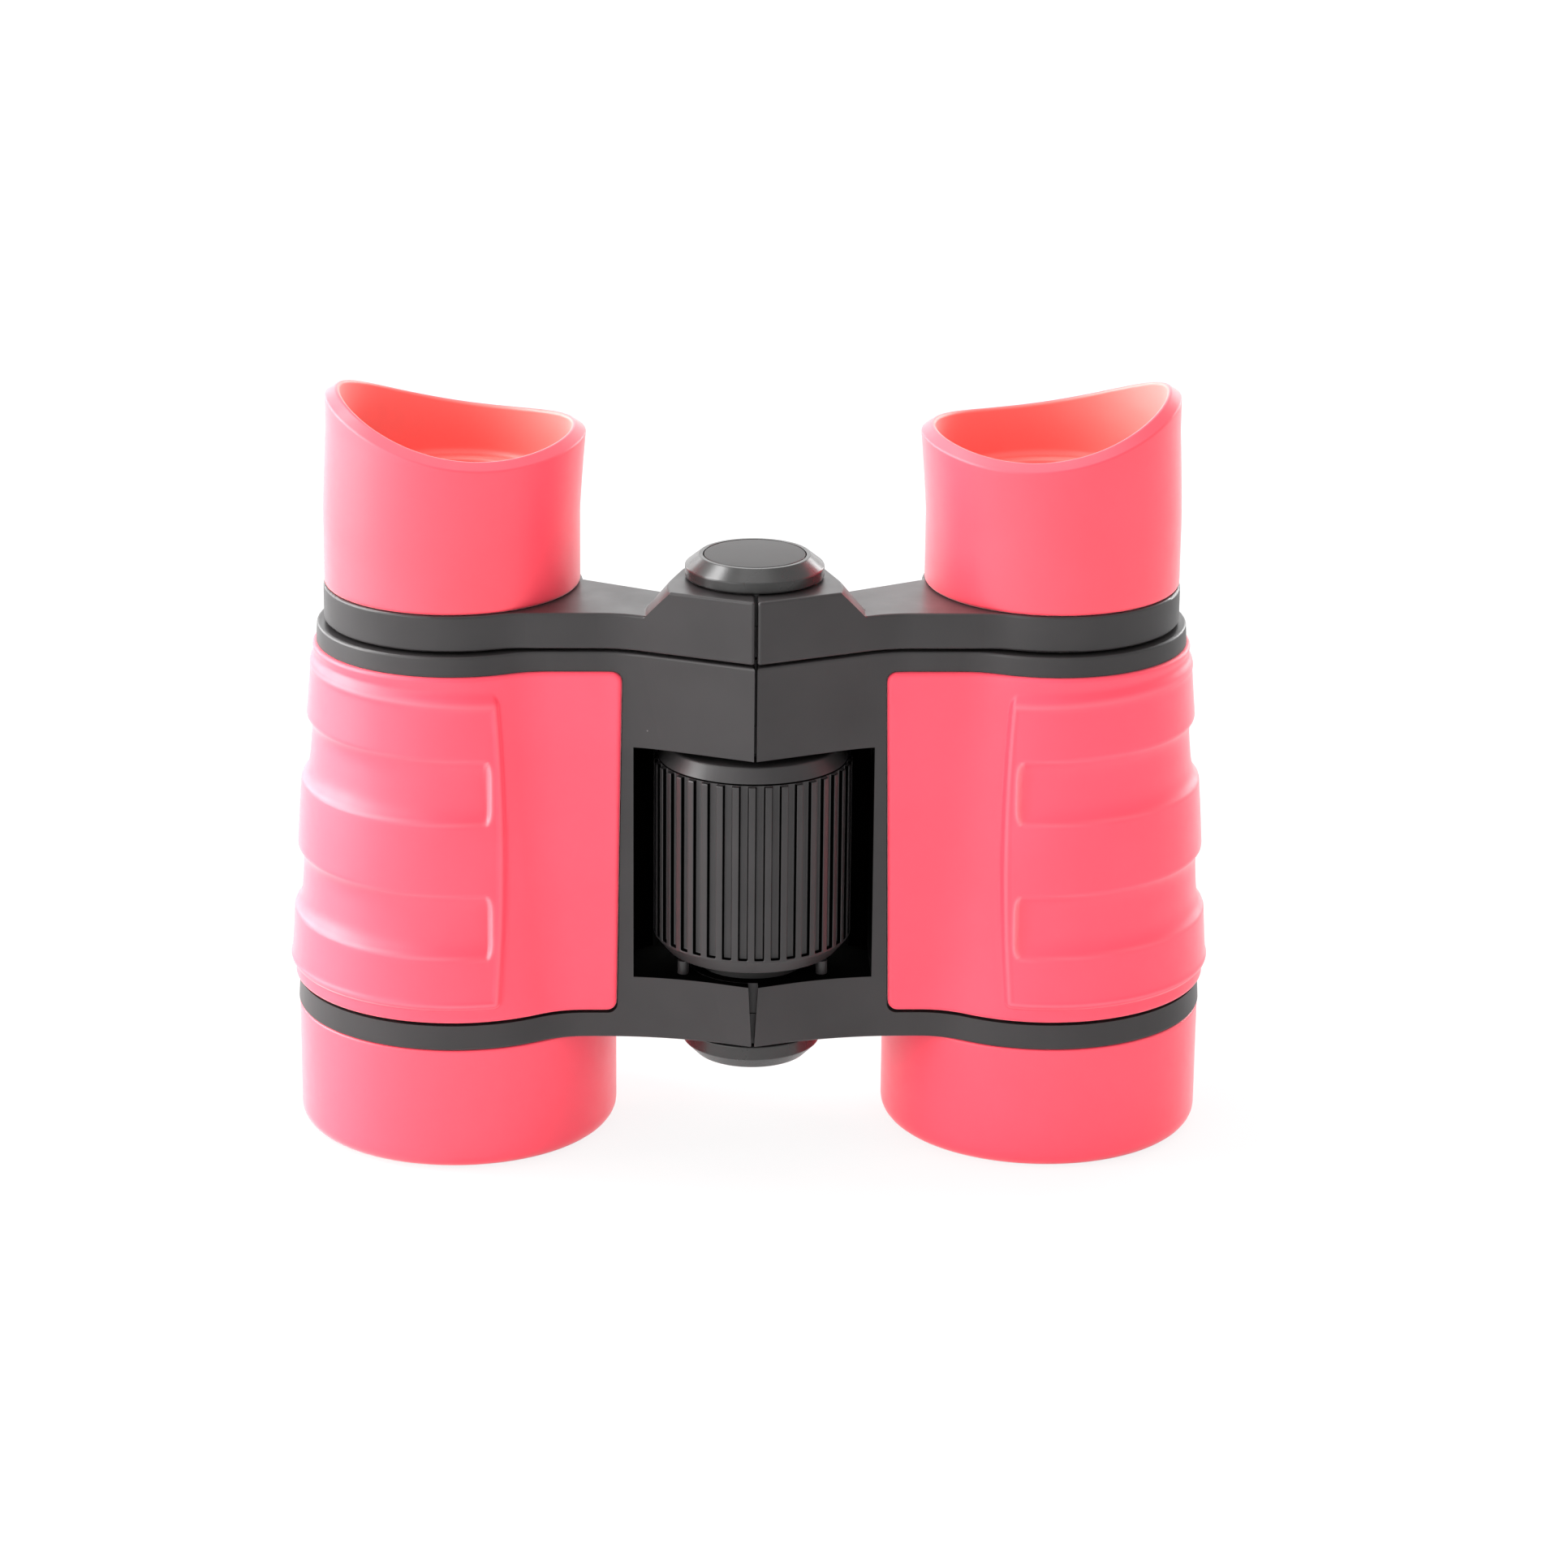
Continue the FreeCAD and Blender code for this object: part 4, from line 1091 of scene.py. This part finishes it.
def crowned_disc():
    """Disc whose top is a shallow dome, with a rounded edge; both faces close at the axis."""
    share = np.linspace(0, 1, 24)
    edge = disc_radius - disc_corner
    turn = np.radians(np.linspace(0, 90, 6))
    dome = np.stack([edge * share, cap_high[2] + disc_crown * (1 - share ** 2)], axis=-1)
    corner = np.stack([edge + disc_corner * np.sin(turn),
                       cap_high[2] - disc_corner + disc_corner * np.cos(turn)], axis=-1)
    under = np.stack([disc_radius * (1 - share), np.full(24, seat + 0.01)], axis=-1)
    outline = np.concatenate([dome, corner[1:], under])
    angle = np.linspace(0, 2 * math.pi, disc_sides, endpoint=False)[None]
    points = np.stack([hinge_x + outline[:, :1] * np.cos(angle),
                       hinge_y + outline[:, :1] * np.sin(angle),
                       outline[:, 1:] + 0 * angle], axis=-1)
    return make_mesh("hub_cap_disc", points,
                     quads_of(len(outline), disc_sides, around_columns=True))


dress(crowned_disc(), "bridge_cap_disc")

# %% [markdown]
# The cap below is a plain bevelled plug with room for the head of the hinge pin. Its outline
# starts and ends a hundredth of a millimetre from the axis, which leaves a pinhole too fine to
# see.

# %% Cap under the hinge
low_cap_low, low_cap_high = box_mm("lower_hinge_cap")
low_cap_radius = (low_cap_high[0] - low_cap_low[0]) / 2
low_cap_bevel = 1.5
pin_room, pin_room_height = 4.6, 1.6
low_cap_corners = [
    (0.01, low_cap_low[2]), (low_cap_radius - low_cap_bevel, low_cap_low[2]),
    (low_cap_radius, low_cap_low[2] + low_cap_bevel), (low_cap_radius, low_cap_high[2]),
    (pin_room, low_cap_high[2]), (pin_room, low_cap_high[2] - pin_room_height),
    (0.01, low_cap_high[2] - pin_room_height)]
low_cap_radii = [0.005, 0.35, 0.3, 0.15, 0.1, 0.1, 0.005]
dress(turned("hinge_foot_cap", low_cap_corners, low_cap_radii, hinge_axis), "lower_hinge_cap")

# %% [markdown]
# ## What the room looks like
# Floor and room melt into one plain white without a horizon, so the camera sees both as white.
# Glossy faces mirror them too. For those mirrored rays alone, the right-hand side is darker than
# the left, which sets the two halves of the black web apart.

# %% Seen by camera and mirrors
mirror_left, mirror_right = 1.06, 0.62


def mirrored_strength(tree, across, reach):
    """1 for the camera; in mirrors, a little more from the left and less from the right."""
    path = tree.nodes.new("ShaderNodeLightPath")
    fall = remap(tree, across, -reach, reach, 1 - mirror_left, 1 - mirror_right)
    missing = math_node(tree, "MULTIPLY", fall, path.outputs["Is Glossy Ray"])
    return math_node(tree, "SUBTRACT", 1, missing)


def seen_or_mirrored(tree):
    """1 for rays from the camera, from mirrors and through glass, 0 for the light itself."""
    path = tree.nodes.new("ShaderNodeLightPath")
    total = path.outputs["Is Camera Ray"]
    for ray in ("Is Glossy Ray", "Is Transmission Ray"):
        total = math_node(tree, "MAXIMUM", total, path.outputs[ray])
    return total


print("mirrors see", mirror_left, "on the left and", mirror_right, "on the right")

# %% [markdown]
# ## Floor
# The floor is a pale sheet. Most of what the camera sees of it is a plain white glow, and the
# rest is paint that takes the light, which leaves a faint shadow under the hoods.

# %% Floor
floor_size, floor_glow, floor_paint = 3.0, 0.85, 0.90
floor_reach = 0.08
floor_mesh = bpy.data.meshes.new("floor")
floor_mesh.from_pydata([(-floor_size, -floor_size, 0), (floor_size, -floor_size, 0),
                        (floor_size, floor_size, 0), (-floor_size, floor_size, 0)],
                       [], [(0, 1, 2, 3)])
floor = bpy.data.objects.new("floor", floor_mesh)
bpy.context.scene.collection.objects.link(floor)
floor_material = bpy.data.materials.new("pale_floor")
floor_material.use_nodes = True
floor_tree = floor_material.node_tree
floor_tree.nodes.remove(floor_tree.nodes["Principled BSDF"])
paint = floor_tree.nodes.new("ShaderNodeBsdfDiffuse")
paint.inputs["Color"].default_value = (floor_paint, floor_paint, floor_paint, 1)
glow = floor_tree.nodes.new("ShaderNodeEmission")
floor_place = floor_tree.nodes.new("ShaderNodeTexCoord").outputs["Object"]
floor_strength = mirrored_strength(floor_tree, axes_of(floor_tree, floor_place)[0], floor_reach)
floor_tree.links.new(floor_strength, glow.inputs["Strength"])
whiteness = math_node(floor_tree, "MULTIPLY", seen_or_mirrored(floor_tree), floor_glow)
mixed = floor_tree.nodes.new("ShaderNodeMixShader")
floor_tree.links.new(whiteness, mixed.inputs[0])
floor_tree.links.new(paint.outputs[0], mixed.inputs[1])
floor_tree.links.new(glow.outputs[0], mixed.inputs[2])
floor_tree.links.new(mixed.outputs[0], floor_tree.nodes["Material Output"].inputs["Surface"])
floor_mesh.materials.append(floor_material)
print("floor", 2 * floor_size, "m wide")

# %% [markdown]
# ## Light
# The room is an even white tent, which gives every side nearly the same colour. It could be done
# with lamps all round, but a plain background colour is smoother and quicker to render. What it
# lights with and what the camera sees of it are set apart.

# %% Room light
world = bpy.data.worlds.new("white_tent")
bpy.context.scene.world = world
world.use_nodes = True
room = world.node_tree
sky = room.nodes["Background"]
tent_light, tent_seen = 0.94, 1.0
room_reach = 0.35
level = remap(room, seen_or_mirrored(room), 0, 1, tent_light, tent_seen)
direction = room.nodes.new("ShaderNodeTexCoord").outputs["Generated"]
side_fall = mirrored_strength(room, axes_of(room, direction)[0], room_reach)
room.links.new(math_node(room, "MULTIPLY", level, side_fall), sky.inputs["Strength"])
sky.inputs["Color"].default_value = (1, 1, 1, 1)
print("tent light", tent_light)

# %% [markdown]
# Seven square lamps give the object its shape. The strongest stands far to the left and lays a
# pale veil on the left of every pink piece. The other six are weaker. They put light on the cap's
# bevel, on the rims and along the edges that turn away behind.

# %% Lamps
lamp_target = Vector((0, 0, 0.045))


def soft_lamp(name, place, power, size):
    """Square lamp that looks at the middle of the binoculars."""
    lamp = bpy.data.lights.new(name, "AREA")
    lamp.energy = power
    lamp.size = size
    holder = bpy.data.objects.new(name, lamp)
    holder.location = place
    holder.rotation_euler = (lamp_target - Vector(place)).to_track_quat("-Z", "Y").to_euler()
    bpy.context.scene.collection.objects.link(holder)
    return holder


soft_lamp("key_lamp", (-0.80, -0.75, 0.42), 3.0, 0.7)
soft_lamp("side_lamp", (-0.97, 0.12, 0.30), 22.0, 0.9)
soft_lamp("high_lamp", (-0.62, 0.20, 0.90), 5.0, 0.3)
soft_lamp("top_lamp", (0.0, 0.15, 1.1), 1.5, 0.5)
soft_lamp("back_lamp", (0.0, 1.1, 0.50), 5.0, 1.2)
soft_lamp("rear_left_lamp", (-0.75, 0.85, 0.30), 4.0, 0.5)
soft_lamp("rear_right_lamp", (0.75, 0.85, 0.30), 6.0, 0.5)
print("lamps:", len(bpy.data.lights))

# %% [markdown]
# ## Camera
# The camera looks down on the front from a little over half a metre, with a long lens. Its place
# and its three angles come from a fit to the barrels, bands, seam and hoods, and so they are
# given as numbers. The lens follows from the focal length in pixels and the widths of picture and
# sensor.

# %% Camera
photo_pixels = 1932
focal_pixels = 6067
sensor_mm = 36.0
camera_place = Vector((-12.553, -529.453, 219.776)) * mm
camera_turn, camera_rise, camera_roll = -0.03074, 0.32712, 0.01012
away = Vector((math.sin(camera_turn) * math.cos(camera_rise),
               -math.cos(camera_turn) * math.cos(camera_rise), math.sin(camera_rise)))
level_right = Vector((math.cos(camera_turn), math.sin(camera_turn), 0))
level_up = away.cross(level_right)
right = math.cos(camera_roll) * level_right + math.sin(camera_roll) * level_up
up = -math.sin(camera_roll) * level_right + math.cos(camera_roll) * level_up
camera_data = bpy.data.cameras.new("photo_camera")
camera_data.sensor_width = sensor_mm
camera_data.lens = focal_pixels / photo_pixels * sensor_mm
camera_data.clip_start = 0.01
camera = bpy.data.objects.new("photo_camera", camera_data)
camera_axes = Matrix((right, up, away)).transposed().to_4x4()
camera.matrix_world = Matrix.Translation(camera_place) @ camera_axes
bpy.context.scene.collection.objects.link(camera)
bpy.context.scene.camera = camera
bpy.context.scene.view_settings.view_transform = "Standard"
print(f"camera lens {camera_data.lens:.1f} mm")
